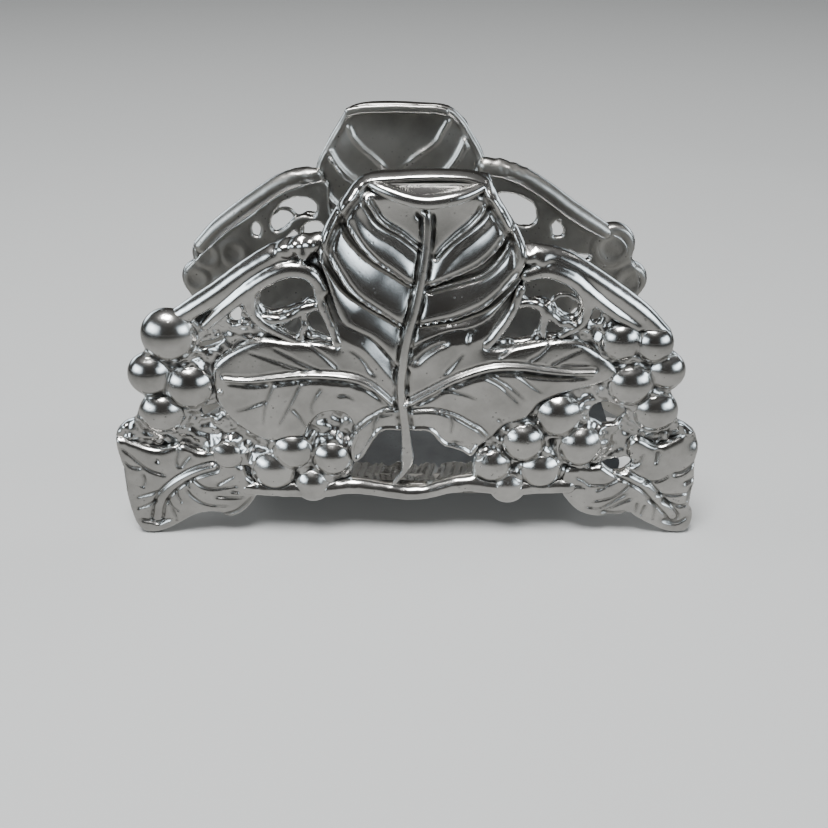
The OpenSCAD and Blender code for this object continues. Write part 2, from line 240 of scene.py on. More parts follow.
def ball(field, x0, z0, t0, r, k=0.35, stretch=(1, 1, 1)):
    w = window((x0 - r - 4, z0 - r - 4, t0 - r - 4), (x0 + r + 4, z0 + r + 4, t0 + r + 4))
    x, z, t = local(w)
    q = np.sqrt(((x - x0) / stretch[0]) ** 2 + ((z - z0) / stretch[1]) ** 2 + ((t - t0) / stretch[2]) ** 2)
    field[w] = smin(field[w], q - r, k)


def plate(field, edge, front, back, radius=1.2, k=0.6, slope_cap=1.6):
    """A sheet between two height maps inside a flat outline, with rounded edges."""
    gx, gz = np.gradient(front, STEP)
    tilt = np.sqrt(1 + np.minimum(gx**2 + gz**2, slope_cap**2))
    cols = np.where(edge.min(1) < FAR)[0]
    rows = np.where(edge.min(0) < FAR)[0]
    w = (slice(cols[0], cols[-1] + 1), slice(rows[0], rows[-1] + 1), slice(None))
    f = w[:2]
    v = np.maximum((T3 - front[f][:, :, None]) / tilt[f][:, :, None], back[f][:, :, None] - T3) + radius
    s = (edge[f] + radius)[:, :, None]
    d = np.hypot(np.maximum(s, 0), np.maximum(v, 0)) + np.minimum(np.maximum(s, v), 0) - radius
    field[w] = smin(field[w], d, k)


# ---- the drawing of one panel, in mm -----------------------------------------------------------
LEAF = [
    (-13, 117), (-4, 118), (6, 118.4), (14, 118), (18.8, 116.5), (20.8, 114.2), (22.4, 111.4),
    (24.3, 108.4), (26.4, 105), (28.6, 101.3), (30.2, 97.4), (30.4, 92), (29, 85), (26.5, 78), (22.5, 72),
    (20.5, 67.5), (25, 66.5), (32, 67.5), (40, 68.8), (47, 68.5), (53, 65), (58.5, 59.5), (57, 56),
    (51, 53.5), (44, 51.5), (37, 48), (33.5, 43), (27.5, 41), (24, 37), (20, 33), (17.5, 29.6),
    (14.4, 31.5), (11.5, 32.7), (8.9, 33.6), (6.9, 35.6), (5.2, 38), (3, 39.2), (-3, 39), (-7, 39.4),
    (-9.5, 38.9), (-11.2, 36.6), (-13.2, 33.2), (-15.5, 29.2), (-18.5, 27.5), (-20, 33), (-18, 40),
    (-21, 45), (-27, 45), (-31, 41), (-33, 37), (-38, 36), (-44, 35), (-50, 38), (-55, 43), (-58, 49),
    (-58.5, 57), (-57, 62), (-50, 67), (-43, 69.5), (-35, 68.5), (-27, 68.5), (-22, 67.5), (-22.5, 73),
    (-25, 80), (-25, 87), (-26.5, 94), (-24.5, 102), (-21, 108), (-18, 112.5),
]
WEB_LEFT = [
    (-24, 96), (-32, 95), (-40, 92), (-47, 88), (-55, 82), (-62, 77), (-68, 76), (-74, 72), (-77, 66),
    (-80, 60), (-81, 53), (-79, 49), (-82, 45), (-84, 41.8), (-88, 39.6), (-90.3, 36.5), (-89.8, 33),
    (-84, 29), (-68, 29), (-58, 28), (-51, 24), (-50, 16), (-36, 17), (-25, 17), (-19.5, 20), (-19, 30),
    (-17, 45), (-17, 66), (-20, 90),
]
WEB_RIGHT = [
    (27, 93), (38, 91), (46, 87), (54, 81), (62, 76), (69, 70), (73, 66), (77, 62), (78, 56), (76, 51),
    (78, 46), (78.8, 41.6), (82.3, 39.3), (85.2, 36.6), (85.6, 33), (82, 29), (66, 28), (56, 25),
    (50, 17), (36, 17), (24, 17), (18.5, 21), (19, 31), (18, 45), (18, 66), (26, 82),
]
HOLES_LEFT = [
    [(-43.4, 80.5), (-42.4, 84.5), (-38, 88), (-32, 89.3), (-28.2, 88), (-26, 84.5), (-26, 81), (-29, 81),
     (-32, 79.5), (-36, 78), (-41, 77.6)],
    [(-37.3, 72), (-35.5, 74), (-33, 75), (-31.5, 73.5), (-31.8, 70), (-32.8, 68.8), (-35, 70)],
    [(-30, 75.5), (-28, 77), (-26, 76), (-23.5, 72.5), (-23, 69.5), (-25, 69), (-27.5, 70.5), (-29.3, 72)],
    [(-63.5, 43), (-63, 46.5), (-60.5, 47.3), (-58, 46), (-58.2, 43.3), (-60.5, 42.5)],
    [(-52.5, 74.5), (-52, 78.5), (-50, 79.5), (-48.8, 77), (-50, 74)],
    [(-63, 66.8), (-58, 67.6), (-55, 68.8), (-57, 66.6), (-61, 65.3)],
]
HOLES_RIGHT = [
    [(30.5, 84.5), (33, 87.3), (38, 87.3), (42.5, 85), (45.7, 81), (46.3, 77.5), (44.5, 75.5),
     (41.5, 77.5), (39, 80), (35.5, 81.6), (32, 81)],
    [(29.3, 78.3), (32, 79), (35, 77.8), (36.3, 75), (35, 71.5), (33, 69), (29, 68.3), (24.5, 68.3),
     (23.5, 70), (26.5, 74.5)],
    [(38.5, 76.2), (42, 73), (44.5, 71.5), (41, 70.3), (37.5, 70.5), (37.3, 73)],
    [(52.2, 43.7), (54.2, 47), (58.2, 47.9), (62.2, 46.5), (63.3, 43.7), (61.2, 41), (57.5, 39.6),
     (53.7, 41)],
    [(50.6, 74.2), (50, 77.5), (51.2, 79), (52.8, 77), (52.5, 74.5)],
]
POCKETS = [
    (-24.5, 41, 5.5), (-62.5, 40.5, 5), (-58, 71, 8), (56, 73.5, 7), (47, 50, 3), (65, 40.5, 4),
    (37, 40, 3), (-48, 33.5, 3.2), (19.5, 34, 2.2), (27.8, 30, 2), (62, 32, 3.5),
]

GRAPES_LEFT = [
    (-70, 70, 8.1), (-77.1, 57.3, 6.8), (-66, 53.5, 7.6), (-75.2, 44.4, 6.9), (-57, 29.5, 5.1),
    (-43, 24, 6.8), (-37, 31, 6.4), (-31.5, 18.3, 6.2), (-25, 28.3, 6.4),
]
GRAPES_RIGHT = [
    (59.5, 68, 5.9), (69, 67.2, 5.8), (73.6, 58.4, 5.8), (63.5, 54, 7), (72, 44.8, 6.6), (43.2, 43.4, 7),
    (50.5, 32.8, 7), (33.2, 34.2, 7), (39, 24, 6.6), (24, 25.5, 6), (29.3, 17.3, 5.8),
]
GRAPE_DEPTH, GRAPE_RISE = 0.8, 0.72          # depth of their centres, and how much they stand out, in radii

ARCH_LEFT = [
    (-25.5, 98, 0.1, 2.7), (-31, 96.8, 0.1, 3.05), (-38, 94.3, 0.1, 3.1), (-46, 89.4, 0.1, 3.1),
    (-54, 83.5, 0.1, 3.1), (-61, 78.9, 0.1, 3.0), (-67, 75.1, 0.1, 2.7),
]
BAND_LEFT = [
    (-59, 73.2, 1.4, 1.4), (-52.5, 79.2, 1.8, 2.0), (-43, 86.7, 2, 2.4), (-35, 90.6, 2, 2.5),
    (-28.7, 89.6, 2, 2.3), (-25.3, 84.5, 2, 1.9),
]
LOOP_LEFT = [
    (-44.8, 85, 1.8, 2), (-45.8, 79.5, 1.6, 1.9), (-43.5, 74.8, 1.5, 1.7), (-38.5, 71.3, 1.5, 1.5),
    (-32, 67.8, 1.5, 1.2),
]
ROLL_LEFT = [
    (-26.5, 84, 2.4, 1.3), (-24.8, 77.5, 2.4, 1.4), (-22.6, 71.5, 2.6, 1.3), (-21.6, 68.6, 2.8, 1.5),
]
ARCH_RIGHT = [
    (30.5, 94.8, 0.1, 2.7), (36, 94.1, 0.1, 3.05), (42.5, 91.8, 0.1, 3.1), (50, 87, 0.1, 3.1),
    (58, 81.4, 0.1, 3.1), (65, 76, 0.1, 3.0), (71, 70, 0.1, 2.7),
]
BAND_RIGHT = [
    (31, 89, 2, 2), (36.5, 90.4, 2, 2.3), (43, 88.1, 2, 2.4), (49, 83.2, 1.9, 2.2), (56, 77.6, 1.7, 1.9),
    (63.5, 73, 1.4, 1.5),
]
LOOP_RIGHT = [(46.8, 84.5, 1.8, 2), (48.7, 79, 1.6, 1.7), (47.3, 74, 1.5, 1.5), (42, 70.4, 1.5, 1.2)]
ROLL_RIGHT = [(29.6, 85, 2.4, 1.3), (27.4, 78, 2.4, 1.4), (23.6, 71.5, 2.6, 1.5), (20.8, 68, 2.8, 1.5)]
KNOTS_LEFT = [(-28, 97.6, 2.0, 2.0), (-32, 97.4, 2.4, 1.7), (-30, 94.8, 2.2, 1.5), (-35.5, 96.4, 2.2, 1.5)]
KNOTS_RIGHT = [(31.5, 94, 2.0, 1.9), (35, 93.4, 2.4, 1.6)]
BOTTOM = [
    (-52, 17.2, 1.2, 2.4), (-42, 16.9, 1.2, 2.8), (-34, 16.9, 1.2, 3), (-27, 17, 1.2, 3),
    (-23.6, 17.3, 1.2, 2.6), (-18, 17.8, 1.2, 2.7), (-10, 16.5, 1.2, 2.5), (-2, 15.2, 1.2, 2.5),
    (4, 15.6, 1.2, 2.4), (10, 17.6, 1.2, 2.6), (17, 19, 1.2, 2.9), (23, 18.2, 1.2, 2.9),
    (30, 17.4, 1.2, 2.8), (38, 17.8, 1.2, 2.7), (48, 18, 1.2, 2.5),
]
STALK = [
    (2.4, 107.4, 3.9, 0.8), (3.5, 106.4, 4.3, 1.1), (3.4, 99, 4.6, 1.1), (2.4, 91, 5.1, 1.15),
    (0.8, 82, 5.4, 1.2), (-1.5, 73, 5.5, 1.25), (-3, 64, 5.2, 1.3), (-3.8, 54, 4.9, 1.3),
    (-3.2, 47, 4.5, 1.4), (-2.5, 40, 4.0, 1.5), (-2.2, 34.5, 3.7, 1.75), (-2, 30.4, 3.5, 2.05),
    (-2.1, 27.6, 3.2, 1.7), (-2.6, 25.4, 2.9, 1.1),
]
TWIG = [(-2.2, 27, 3, 1.3), (-3, 24.2, 2.9, 0.95), (-4.8, 21.6, 2.7, 0.8), (-6.3, 19.3, 2.6, 0.6)]
TENDRILS = [
    [(-43.8, 76, 1.4, 1.1), (-40, 75.6, 1.8, 1.2), (-36, 76.3, 2, 1.4), (-31.5, 78.2, 2, 1.3),
     (-28, 79.4, 1.8, 1.2), (-25.6, 79.8, 1.6, 1.2)],
    [(-31.3, 78, 1.8, 1.1), (-31, 73.5, 1.8, 1.0), (-32.5, 69.3, 1.5, 0.9)],
    [(29.5, 80, 1.6, 1.2), (33, 80.2, 1.8, 1.3), (37, 78.4, 2, 1.5), (40.5, 75.2, 2, 1.3),
     (45.5, 73.2, 1.6, 1.2)],
    [(37.5, 78.4, 1.8, 1.3), (36.7, 74.5, 1.8, 1.3), (36.8, 70, 1.5, 1)],
    [(46.8, 80.5, 1.4, 0.8), (43.5, 82.6, 1.4, 0.75), (40.2, 82.4, 1.2, 0.75), (38, 80.3, 1.2, 0.8)],
]
TIP_ROLL = [
    (-12.6, 115.4, 2.0, 1.0), (-10, 114.7, 4.3, 1.4), (-6.8, 113.7, 5.8, 1.65), (-2.8, 112.5, 6.9, 1.75),
    (1.2, 111.7, 7.5, 1.8), (5.2, 111.6, 7.6, 1.85), (10.8, 112.4, 6.9, 1.8), (14.7, 113.3, 5.5, 1.55),
    (17.6, 114.3, 3.8, 1.3), (19.4, 115, 1.8, 1.0),
]

# side veins of the upper lobe, from the midrib outwards: path, and half the ridge's width at its two ends
PILLOW_LEFT = [
    ([(2.3, 96.5), (-0.5, 99.1), (-3.7, 101.7), (-6.9, 103.6), (-9.4, 105.8), (-11, 108.7),
      (-12.9, 112)], 0.5, 1.0),
    ([(0.6, 86), (-3, 88.4), (-6.3, 90.9), (-9.6, 93.1), (-12.5, 95.8), (-15.2, 99.1), (-17.2, 102.6),
      (-18.5, 105.8)], 0.5, 1.3),
    ([(-3.5, 74.6), (-7.7, 77.6), (-12.1, 80.5), (-15.7, 83.1), (-18.6, 86.4), (-20.7, 90), (-22.6, 93.5),
      (-24.2, 97.2)], 0.6, 1.3),
    ([(-5.9, 63), (-9.2, 67.4), (-12.5, 70.8), (-16.4, 72.8), (-19.4, 74.5), (-21.2, 77.2),
      (-22, 80)], 0.5, 0.5),
]
PILLOW_RIGHT = [
    ([(5.9, 94.9), (8.6, 98.1), (11.8, 101.1), (15, 103.8), (17.7, 107), (19, 110.1)], 0.5, 1.0),
    ([(4.6, 86.8), (9.5, 88.9), (13.8, 90.7), (17.4, 92.6), (20.6, 95.2), (23.4, 98.7),
      (25.3, 101.9)], 0.7, 0.9),
    ([(1.9, 75), (6.4, 75.9), (11, 76.8), (15.3, 78.4), (19.5, 80.4), (23.2, 83.5), (26.5, 87.2),
      (30, 91.7)], 0.5, 1.1),
    ([(0.6, 68.1), (5.1, 70.5), (9.8, 72.4), (15.1, 73.2), (18.5, 74.4), (21.8, 76.7),
      (24.2, 79.9)], 0.4, 0.4),
]
SECOND_RIGHT = (
    [(4.2, 85), (9.2, 86.6), (13.8, 88), (17.9, 89.5), (21, 91.7), (23.6, 95), (25.9, 99.2)], 0.6, 0.9,
)
TIP_LINE_LEFT = [(3, 108), (-3, 110), (-8, 112.5), (-12.5, 115)]
TIP_LINE_RIGHT = [(3, 108), (9, 109.5), (14.5, 112), (19.5, 115)]
PILLOW_RISE_LEFT = [0.6, 5.2, 4.7, 3.8]
PILLOW_RISE_RIGHT = [0.6, 5.2, 4.5, 3.6]

MAIN_VEINS = [
    [(-6.6, 50), (-9.8, 53.3), (-12.1, 55.2), (-15.3, 57), (-19.2, 58.1), (-25, 58.6), (-31, 58.7),
     (-40, 57.6), (-48, 56.6), (-55, 57)],
    [(-2.4, 49.2), (2.7, 52.3), (6.6, 54.6), (10.6, 56.9), (14.5, 58.6), (19.7, 60.4), (24.4, 61.2),
     (31, 61), (38, 59.8), (45, 59), (52, 59)],
]
BASAL_VEINS = [
    [(-5.2, 47.6), (-8.5, 47.2), (-11, 45.6), (-13.8, 43.6), (-16, 41.4), (-18.6, 39.4)],
    [(-1, 46.8), (4.7, 47), (8.8, 46.2), (12.6, 44.6), (16.6, 42), (19.8, 39.8), (22.6, 36.2)],
]
CURLS = [
    [(-10.7, 44.6), (-11.9, 42.2), (-12, 39.7), (-11.6, 38.2)],
    [(10.8, 44.6), (11.4, 42.1), (10.9, 38.7)], [(11.9, 35.6), (13.6, 35.4), (14.8, 35.6)],
    [(-9.9, 44.9), (-7.5, 45.4), (-5.7, 45.5)],
]
FINE_VEINS = [
    [(-41, 55.2), (-42.6, 51.5), (-44, 47.5), (-45, 41.5)], [(-43.4, 49.4), (-48, 47.6), (-53, 45.8)],
    [(-33, 55.5), (-36, 49.5), (-40.5, 41)], [(-36, 47), (-34, 44.3), (-32, 40)],
    [(-27, 54.2), (-29.2, 50.7), (-30.3, 47.7), (-29.9, 44.9)],
    [(-22.3, 51.7), (-19.5, 51.8), (-17.4, 50.4)], [(-31, 59.5), (-40, 63), (-47, 65.5)],
    [(-26, 59.7), (-28.7, 60.6), (-34, 63.6), (-40, 67)], [(-21.6, 60.5), (-25.7, 64.8), (-31, 69)],
    [(-11.4, 59), (-12.8, 60.6), (-13.9, 62.8), (-16.2, 65.5), (-18.5, 67)],
    [(24.5, 64), (28.5, 67), (30.5, 69.5)], [(32.5, 62.5), (36, 65), (40, 69.5)],
    [(39, 61.4), (44, 64.4), (48, 66.4)], [(42, 61.2), (46, 61.6), (50, 61.6)],
    [(9, 59.2), (11.7, 62.8), (14.1, 66)],
    [(7.1, 54), (10.7, 53.6), (12.7, 52.9), (15.9, 51.9), (18.3, 50.5)],
    [(20.6, 57.8), (24.7, 55.3), (28, 51.9), (31.1, 48.5)], [(29.5, 59), (34.5, 54.5), (38, 52)],
    [(22.1, 58.7), (26.6, 55.7), (30.4, 52.3), (32.6, 50)], [(15.3, 69), (15.8, 71.2), (17.7, 72.5)],
    [(24.8, 43.4), (25.8, 42.6), (26.5, 41)],
]
LENSES = [
    [(0.2, 62.6), (3, 65.2), (6.5, 67.6), (9.3, 68.6)], [(31, 58.8), (36, 58.2), (42, 57.4), (47, 57.6)],
]

FOOT_LEFT = [
    (-89.7, 35.9), (-90.4, 34.4), (-90.4, 31.2), (-89.8, 26), (-89.9, 20), (-89.8, 13.3), (-89.3, 7.3),
    (-88.6, 3.8), (-87.6, 1.6), (-86, 0.3), (-83.5, 0.0), (-80.7, 0.5), (-77.3, 2.1), (-73.8, 4.2),
    (-70.8, 6.2), (-67.5, 7.7), (-64.2, 8.2), (-62, 7.8), (-60, 6.6), (-57.5, 6.4), (-54.6, 7.7),
    (-52.3, 9.9), (-50.5, 12.4), (-49.3, 14.7), (-48.8, 17.2), (-49.5, 19.9), (-51.4, 21.8),
    (-52.4, 25.1), (-54.3, 26.5), (-59.1, 31.6), (-61.8, 31.3), (-64.9, 31.1), (-67.9, 32.2),
    (-70.3, 33.4), (-73, 33.2), (-77.1, 32.2), (-81, 32.8), (-85.6, 34.5),
]
FOOT_RIGHT = [
    (86.6, 33.1), (86.7, 31), (86.3, 27.8), (86.6, 23.6), (87, 20.9), (87.1, 18.4), (86.8, 14),
    (86.9, 10.4), (88, 8.6), (88.5, 6), (88.3, 3), (87.2, 0.9), (85.6, 0.2), (83.5, 0), (81.2, 0.3),
    (78.8, 1.2), (76.4, 2.5), (74, 3.8), (72, 5.1), (70, 6.4), (68.5, 7.8), (67, 8.1), (65.8, 7.3),
    (64, 7.1), (61.3, 7), (59.6, 6.5), (57.7, 6.4), (55.4, 6.8), (53.3, 7.6), (51.6, 8.6), (50.2, 9.9),
    (48.9, 11.4), (47.8, 12.9), (46.9, 14.1), (46.3, 15.9), (45.8, 18.1), (46, 22.5), (47.4, 25),
    (51.1, 25.3), (54.7, 25.5), (57.6, 26), (59.8, 24.4), (61.5, 23.3), (63.6, 23.7), (65.3, 24.6),
    (66.7, 26.4), (66, 28.5), (65.2, 31), (64.9, 33.4), (66.2, 35.8), (68, 36.1), (69.8, 35.2),
    (71.6, 34.1), (73.8, 33.4), (75.8, 33.8), (78, 35), (80.2, 36.4), (82, 38.2), (83.7, 37.6),
    (85.2, 35.9), (86, 34.5),
]
FOOT_MID_LEFT = [
    (-61.7, 25.9), (-65.6, 24.7), (-69.4, 22.9), (-73, 20.5), (-76.1, 17.7), (-78.2, 15), (-79.9, 11.6),
    (-80.8, 7.9), (-81.4, 5.8),
]
FOOT_MID_RIGHT = [
    (63.7, 23.3), (65.8, 22.5), (68.4, 20.9), (70.7, 19.7), (72.7, 17.9), (74.8, 15.4), (76.4, 13.5),
    (78.5, 11.2), (80.4, 9), (81.8, 7),
]
FOOT_VEINS_LEFT = [
    [(-76.5, 22.9), (-80.4, 24.3), (-83.2, 26.4), (-86.2, 29.9), (-89.3, 32.8)],
    [(-83.8, 25.5), (-86.8, 25.9), (-88.8, 27.8)],
    [(-72.2, 25.9), (-72.5, 28), (-71.8, 30.7), (-71.6, 33.9)],
    [(-71.4, 25.9), (-69.6, 28.6), (-68, 30.4)], [(-83.4, 23.2), (-83.1, 20.7), (-84.3, 18.3)],
    [(-79.3, 16.9), (-83.4, 15.5), (-86.9, 14.4)], [(-80.3, 13.3), (-83.9, 11.3), (-87.3, 9.9)],
    [(-70.1, 20.7), (-69.8, 19.4), (-69.4, 18.3)],
    [(-68.2, 21.6), (-66.2, 19.1), (-63.2, 17.8), (-58.7, 18), (-54.3, 18.6)],
    [(-70.6, 17.8), (-69.4, 15.2), (-66.5, 12.4), (-63, 11.1), (-58, 11)],
    [(-73.9, 17.2), (-73.5, 14.7), (-72.4, 12.7)], [(-77, 13.6), (-75.8, 10.7), (-73.8, 8.8)],
    [(-61.3, 18.7), (-58.4, 20.7), (-55, 22.7)], [(-62, 14.5), (-57.7, 14.1), (-52.7, 14.2)],
    [(-57, 16.5), (-54.4, 16)], [(-76, 10), (-75.4, 7.4), (-75.2, 5.4)],
]
FOOT_FOLDS_LEFT = [
    [(-61.5, 8.1), (-59.8, 7.6), (-56, 9), (-53.2, 11.4), (-50.4, 14.6)],
    [(-89.4, 25.4), (-89.4, 20.5), (-89.2, 16.7)], [(-86.6, 5.6), (-83, 5), (-80, 5), (-77, 6)],
]
FOOT_VEINS_RIGHT = [
    [(66.9, 26.1), (68.9, 27.5), (69.9, 30.7)], [(70.7, 20.3), (73.8, 20.5), (76.3, 21.1), (78.8, 23)],
    [(75.2, 15.9), (78, 15.4), (81.6, 15.4), (86.2, 15.9)],
    [(63.4, 21.8), (61.8, 20.3), (59.7, 19.1), (56.6, 18.9), (54.3, 19.1), (52.4, 20.6), (49.6, 22)],
    [(66.7, 19.7), (66, 18.1), (64.4, 16.2), (61.9, 14.3), (58.5, 13.2), (55.4, 12.6)],
    [(66.3, 15.9), (64.6, 14.6), (62.5, 12.9), (60.4, 11.2), (57.9, 9.9), (53.7, 10.5)],
    [(68, 14), (65, 12.4), (62, 10.4), (59.6, 9.2)], [(56.8, 16.8), (58.2, 17.7), (59.7, 18.4)],
    [(47.7, 17.9), (50.4, 18.4), (53.1, 18.1)], [(70, 12.3), (70, 10.4), (69.8, 8.6)],
    [(72.7, 11.5), (72, 9.3), (71.8, 7)], [(72.8, 13.7), (75.1, 11.8), (75.8, 9.3), (75.6, 5.6)],
]
FOOT_FOLDS_RIGHT = [
    [(79.6, 23.3), (82.2, 23.8), (84.6, 25.7), (86.3, 27.5)],
    [(77.3, 13.7), (80.2, 12.2), (83.1, 11.1), (85.7, 11.5)], [(83.6, 19.5), (85.2, 20.6), (86.7, 21.7)],
    [(86.4, 18.7), (86, 15.4), (85.6, 12.1)], [(58.9, 8.5), (62.6, 8.2), (67.3, 9)],
    [(74.2, 31.6), (74.1, 29.6), (73.8, 27.4)],
    [(78.6, 5.8), (80.4, 4.8), (83.2, 4.3), (85.3, 5.5), (86.5, 6.7)],
]

# ---- heights -----------------------------------------------------------------------------------
rough2, rough2b = grain(0.7), grain(1.5)
swell = grain(7.0)
INK_AND_SHADOW = np.zeros(X2.shape, np.float32)         # where old polish has darkened the engraved lines, with painted shadow under the main veins' ridges


def stain_and_shadow(amount):
    np.maximum(INK_AND_SHADOW, amount, out=INK_AND_SHADOW)


def carve(height, paths, width, depth, fade=0.6):
    """Cuts tapering grooves along the paths."""
    for path in paths:
        d, u = line_map(path)
        ends = np.clip(np.minimum(u, 1 - u) * 8 + 0.35, 0, 1)
        height -= depth * ends * (1 - fade * u) * bell(d, width * (1 - 0.35 * u))
        stain_and_shadow(ends * (1 - 0.5 * u) * bell(d, width * (1.15 - 0.4 * u)))
    return height


def double_vein(height, path, near_half, far_half, rise, groove):
    """A raised thread between two grooves, which spread apart towards the leaf's edge."""
    d, u = line_map(path)
    half = near_half + (far_half - near_half) * u
    end = 1 / (1 + np.exp((u - 0.97) * 60))
    height += rise * end * bell(d, 0.62 * half)
    height -= groove * end * bell(d - 1.25 * half, 0.30 + 0.16 * half)
    stain_and_shadow(0.75 * end * bell(d - 1.3 * half, 0.28 + 0.16 * half))


def shingles(lines, rises):
    """Overlapping bolsters: each rises from the line above it and drops at the line below it."""
    sides = [side_of(line) for line in lines]
    total = np.zeros(X2.shape, np.float32)
    for upper, lower, rise in zip(sides, sides[1:], rises):
        inside = (upper < 0) & (lower >= 0)
        share = -upper / np.maximum(lower - upper, 1e-3)
        total += np.where(inside, rise * (0.62 * (1 - (1 - share) ** 2) + 0.38 * share - 0.25 * share**8), 0)
    return total


def leaf_front():
    dome = np.exp(-(((X2 + 3) / 42) ** 2) - ((Z2 - 58) / 34) ** 2)
    h = 2.9 + 1.7 * dome + 0.05 * swell
    spine_z = [p[1] for p in STALK][::-1]
    spine_x = [p[0] for p in STALK][::-1]
    left = X2 < np.interp(Z2, spine_z, spine_x)
    zone = np.zeros(X2.shape, bool)
    zone[flat_window(*UPPER_LOBE)] = True
    rolls = np.where(left, shingles([TIP_LINE_LEFT] + [v[0] for v in PILLOW_LEFT], PILLOW_RISE_LEFT),
                     shingles([TIP_LINE_RIGHT] + [v[0] for v in PILLOW_RIGHT], PILLOW_RISE_RIGHT))
    rolls = blur(np.where(zone, rolls, 0).astype(np.float32), 0.35, (0, 1))
    stalk = line_map(STALK)[0]
    deep = np.where(left, *[np.clip(-side_of(v[0][0]) / 4, 0, 1) * np.clip((side_of(v[3][0]) + 4) / 4, 0, 1)
                            for v in (PILLOW_LEFT, PILLOW_RIGHT)])
    h += np.where(zone, (rolls - 2.0 * deep), 0) * (1 - 0.75 * bell(stalk, 2.2))
    for path, near_half, far_half in PILLOW_LEFT[:3] + PILLOW_RIGHT[:3] + [SECOND_RIGHT]:
        double_vein(h, path, near_half, far_half, 1.25, 0.75)
    carve(h, [PILLOW_LEFT[3][0], PILLOW_RIGHT[3][0]], 0.6, 0.9, fade=0.5)
    for path in MAIN_VEINS:
        d, u = line_map(path)
        taper = 1 - 0.5 * u
        h += 1.35 * taper * bell(d, 1.15) + 0.45 * (1 - 0.3 * u) * bell(d, 4.0)
        below, v = line_map([(x, z - 2.2 + 0.9 * (abs(x) / 58) ** 2) for x, z in path])
        above = line_map([(x, z + 1.5 - 0.7 * (abs(x) / 58) ** 2) for x, z in path])[0]
        h -= (1.35 + 0.3 * rough2) * np.abs(np.sin(np.pi * v)) ** 0.5 * bell(below, 0.8)
        h -= 0.75 * bell(above, 0.42)
        stain_and_shadow(0.8 * bell(above, 0.45))
        # the groove under each main vein: dark patina in it and painted shadow under the ridge
        stain_and_shadow((0.75 + 0.2 * rough2) * np.abs(np.sin(np.pi * v)) ** 0.5 * bell(below, 0.75))
    for path in BASAL_VEINS:
        double_vein(h, path, 0.45, 0.55, 0.5, 0.6)
    carve(h, CURLS, 0.42, 0.6)
    carve(h, FINE_VEINS, 0.42, 0.75)
    carve(h, LENSES, 0.9, 1.2, fade=0.2)
    lean = np.exp(-np.clip(112.0 - Z2, 0, 60) / 4.5)              # the leaf leans out into its tip
    h += 2.3 * lean / (1 + np.exp((Z2 - 113.0) / 0.7))
    gutter = 1.9 - 0.3 * (Z2 > 60)
    fade_low = 1 / (1 + np.exp(-(Z2 - 40) / 1.0))
    along_stalk = fade_low * np.clip((108.2 - Z2) * 0.8, 0, 1)
    h -= (0.65 + 0.2 * rough2) * bell(stalk - gutter, 0.5) * along_stalk
    stain_and_shadow((0.6 + 0.25 * rough2) * bell(stalk - gutter, 0.6) * along_stalk)
    return h


def leaf_edges(h, edge):
    """Raised rims down the tip's two sides and round the foot's opening, soft edges elsewhere."""
    side = 1 / (1 + np.exp(-(Z2 - 93) / 1.5))
    h += side * (1.5 * bell(edge + 1.5, 1.15) - 0.8 * bell(edge + 3.6, 0.7))
    stain_and_shadow(0.7 * side * bell(edge + 3.6, 0.5) * (edge < 0))
    foot = (1 / (1 + np.exp((Z2 - 42) / 1.0))) * (np.abs(X2) < 19)
    h += foot * (0.6 * bell(edge + 1.1, 0.6) - 0.4 * bell(edge + 2.3, 0.5))
    h -= (1 - side) * (1 - 0.6 * foot) * 0.9 * np.exp(np.minimum(edge, 0) / 1.4)
    return h


LEAF_THICK, FOOT_THICK = 3.6, 3.2
leaf_edge = outline(LEAF)
leaf_h = leaf_edges(leaf_front(), leaf_edge)
leaf_back = blur(leaf_h, 3.2, (0, 1)) - LEAF_THICK
for vein in PILLOW_LEFT[:3] + PILLOW_RIGHT[:3]:
    d, u = line_map(vein[0])
    leaf_back -= 0.9 * bell(d, 0.8) * np.clip(u * 4, 0.2, 1)
leaf_back -= 0.7 * bell(leaf_edge + 1.2, 0.9) * (Z2 > 90)
leaf_back = np.minimum(leaf_back, leaf_h - 1.6)

grape_gap = np.full(X2.shape, 9.0, np.float32)
for x0, z0, r in GRAPES_LEFT + GRAPES_RIGHT:
    grape_gap = np.minimum(grape_gap, np.hypot(X2 - x0, Z2 - z0) - r)


def pierced(outer, holes):
    edge = outline(outer)
    for hole in holes:
        edge = smax(edge, -outline(hole) + 0.15 * rough2, 0.6)
    return edge


web_left_edge, web_right_edge = pierced(WEB_LEFT, HOLES_LEFT), pierced(WEB_RIGHT, HOLES_RIGHT)
web_h = 0.8 + 0.30 * rough2 + 0.18 * rough2b
for x0, z0, r in POCKETS:
    web_h -= 1.1 * bell(np.hypot(X2 - x0, Z2 - z0), r * 0.75)
web_h += 1.5 * bell(np.maximum(grape_gap, 0), 1.7)
for x0, z0 in ((-86.8, 37), (83, 37.5)):         # the smooth shoulders over the foot leaves
    web_h += 1.1 * bell(np.hypot(X2 - x0, (Z2 - z0) * 0.8), 3.2)
web_h -= 0.9 * bell(np.hypot(X2 + 87, Z2 - 37), 0.9)
web_back = np.full(X2.shape, WEB_FRONT - WEB_THICK, np.float32) + 0.05 * rough2b


def foot_front(edge, mid, veins, folds, middle):
    h = 2.7 + 0.8 * bell(np.hypot(X2 - middle[0], Z2 - middle[1]), 17.0) + 0.05 * swell
    d, u = line_map(mid)
    near = d
    for path in veins:
        dd, uu = line_map(path)
        near = np.minimum(near, dd + 2.0 * (uu > 0.98))
    h += 0.40 * (1 - np.exp(-((near / 2.2) ** 2)))
    h += 0.95 * (1 - 0.3 * u) * bell(d, 0.95)
    h -= 0.85 * bell(d - 1.75, 0.40)
    stain_and_shadow(0.75 * bell(d - 1.8, 0.40))
    carve(h, veins, 0.40, 0.72, fade=0.35)
    carve(h, folds, 0.75, 1.0, fade=0.2)
    h -= 1.0 * np.exp(np.minimum(edge, 0) / 1.2)
    return h


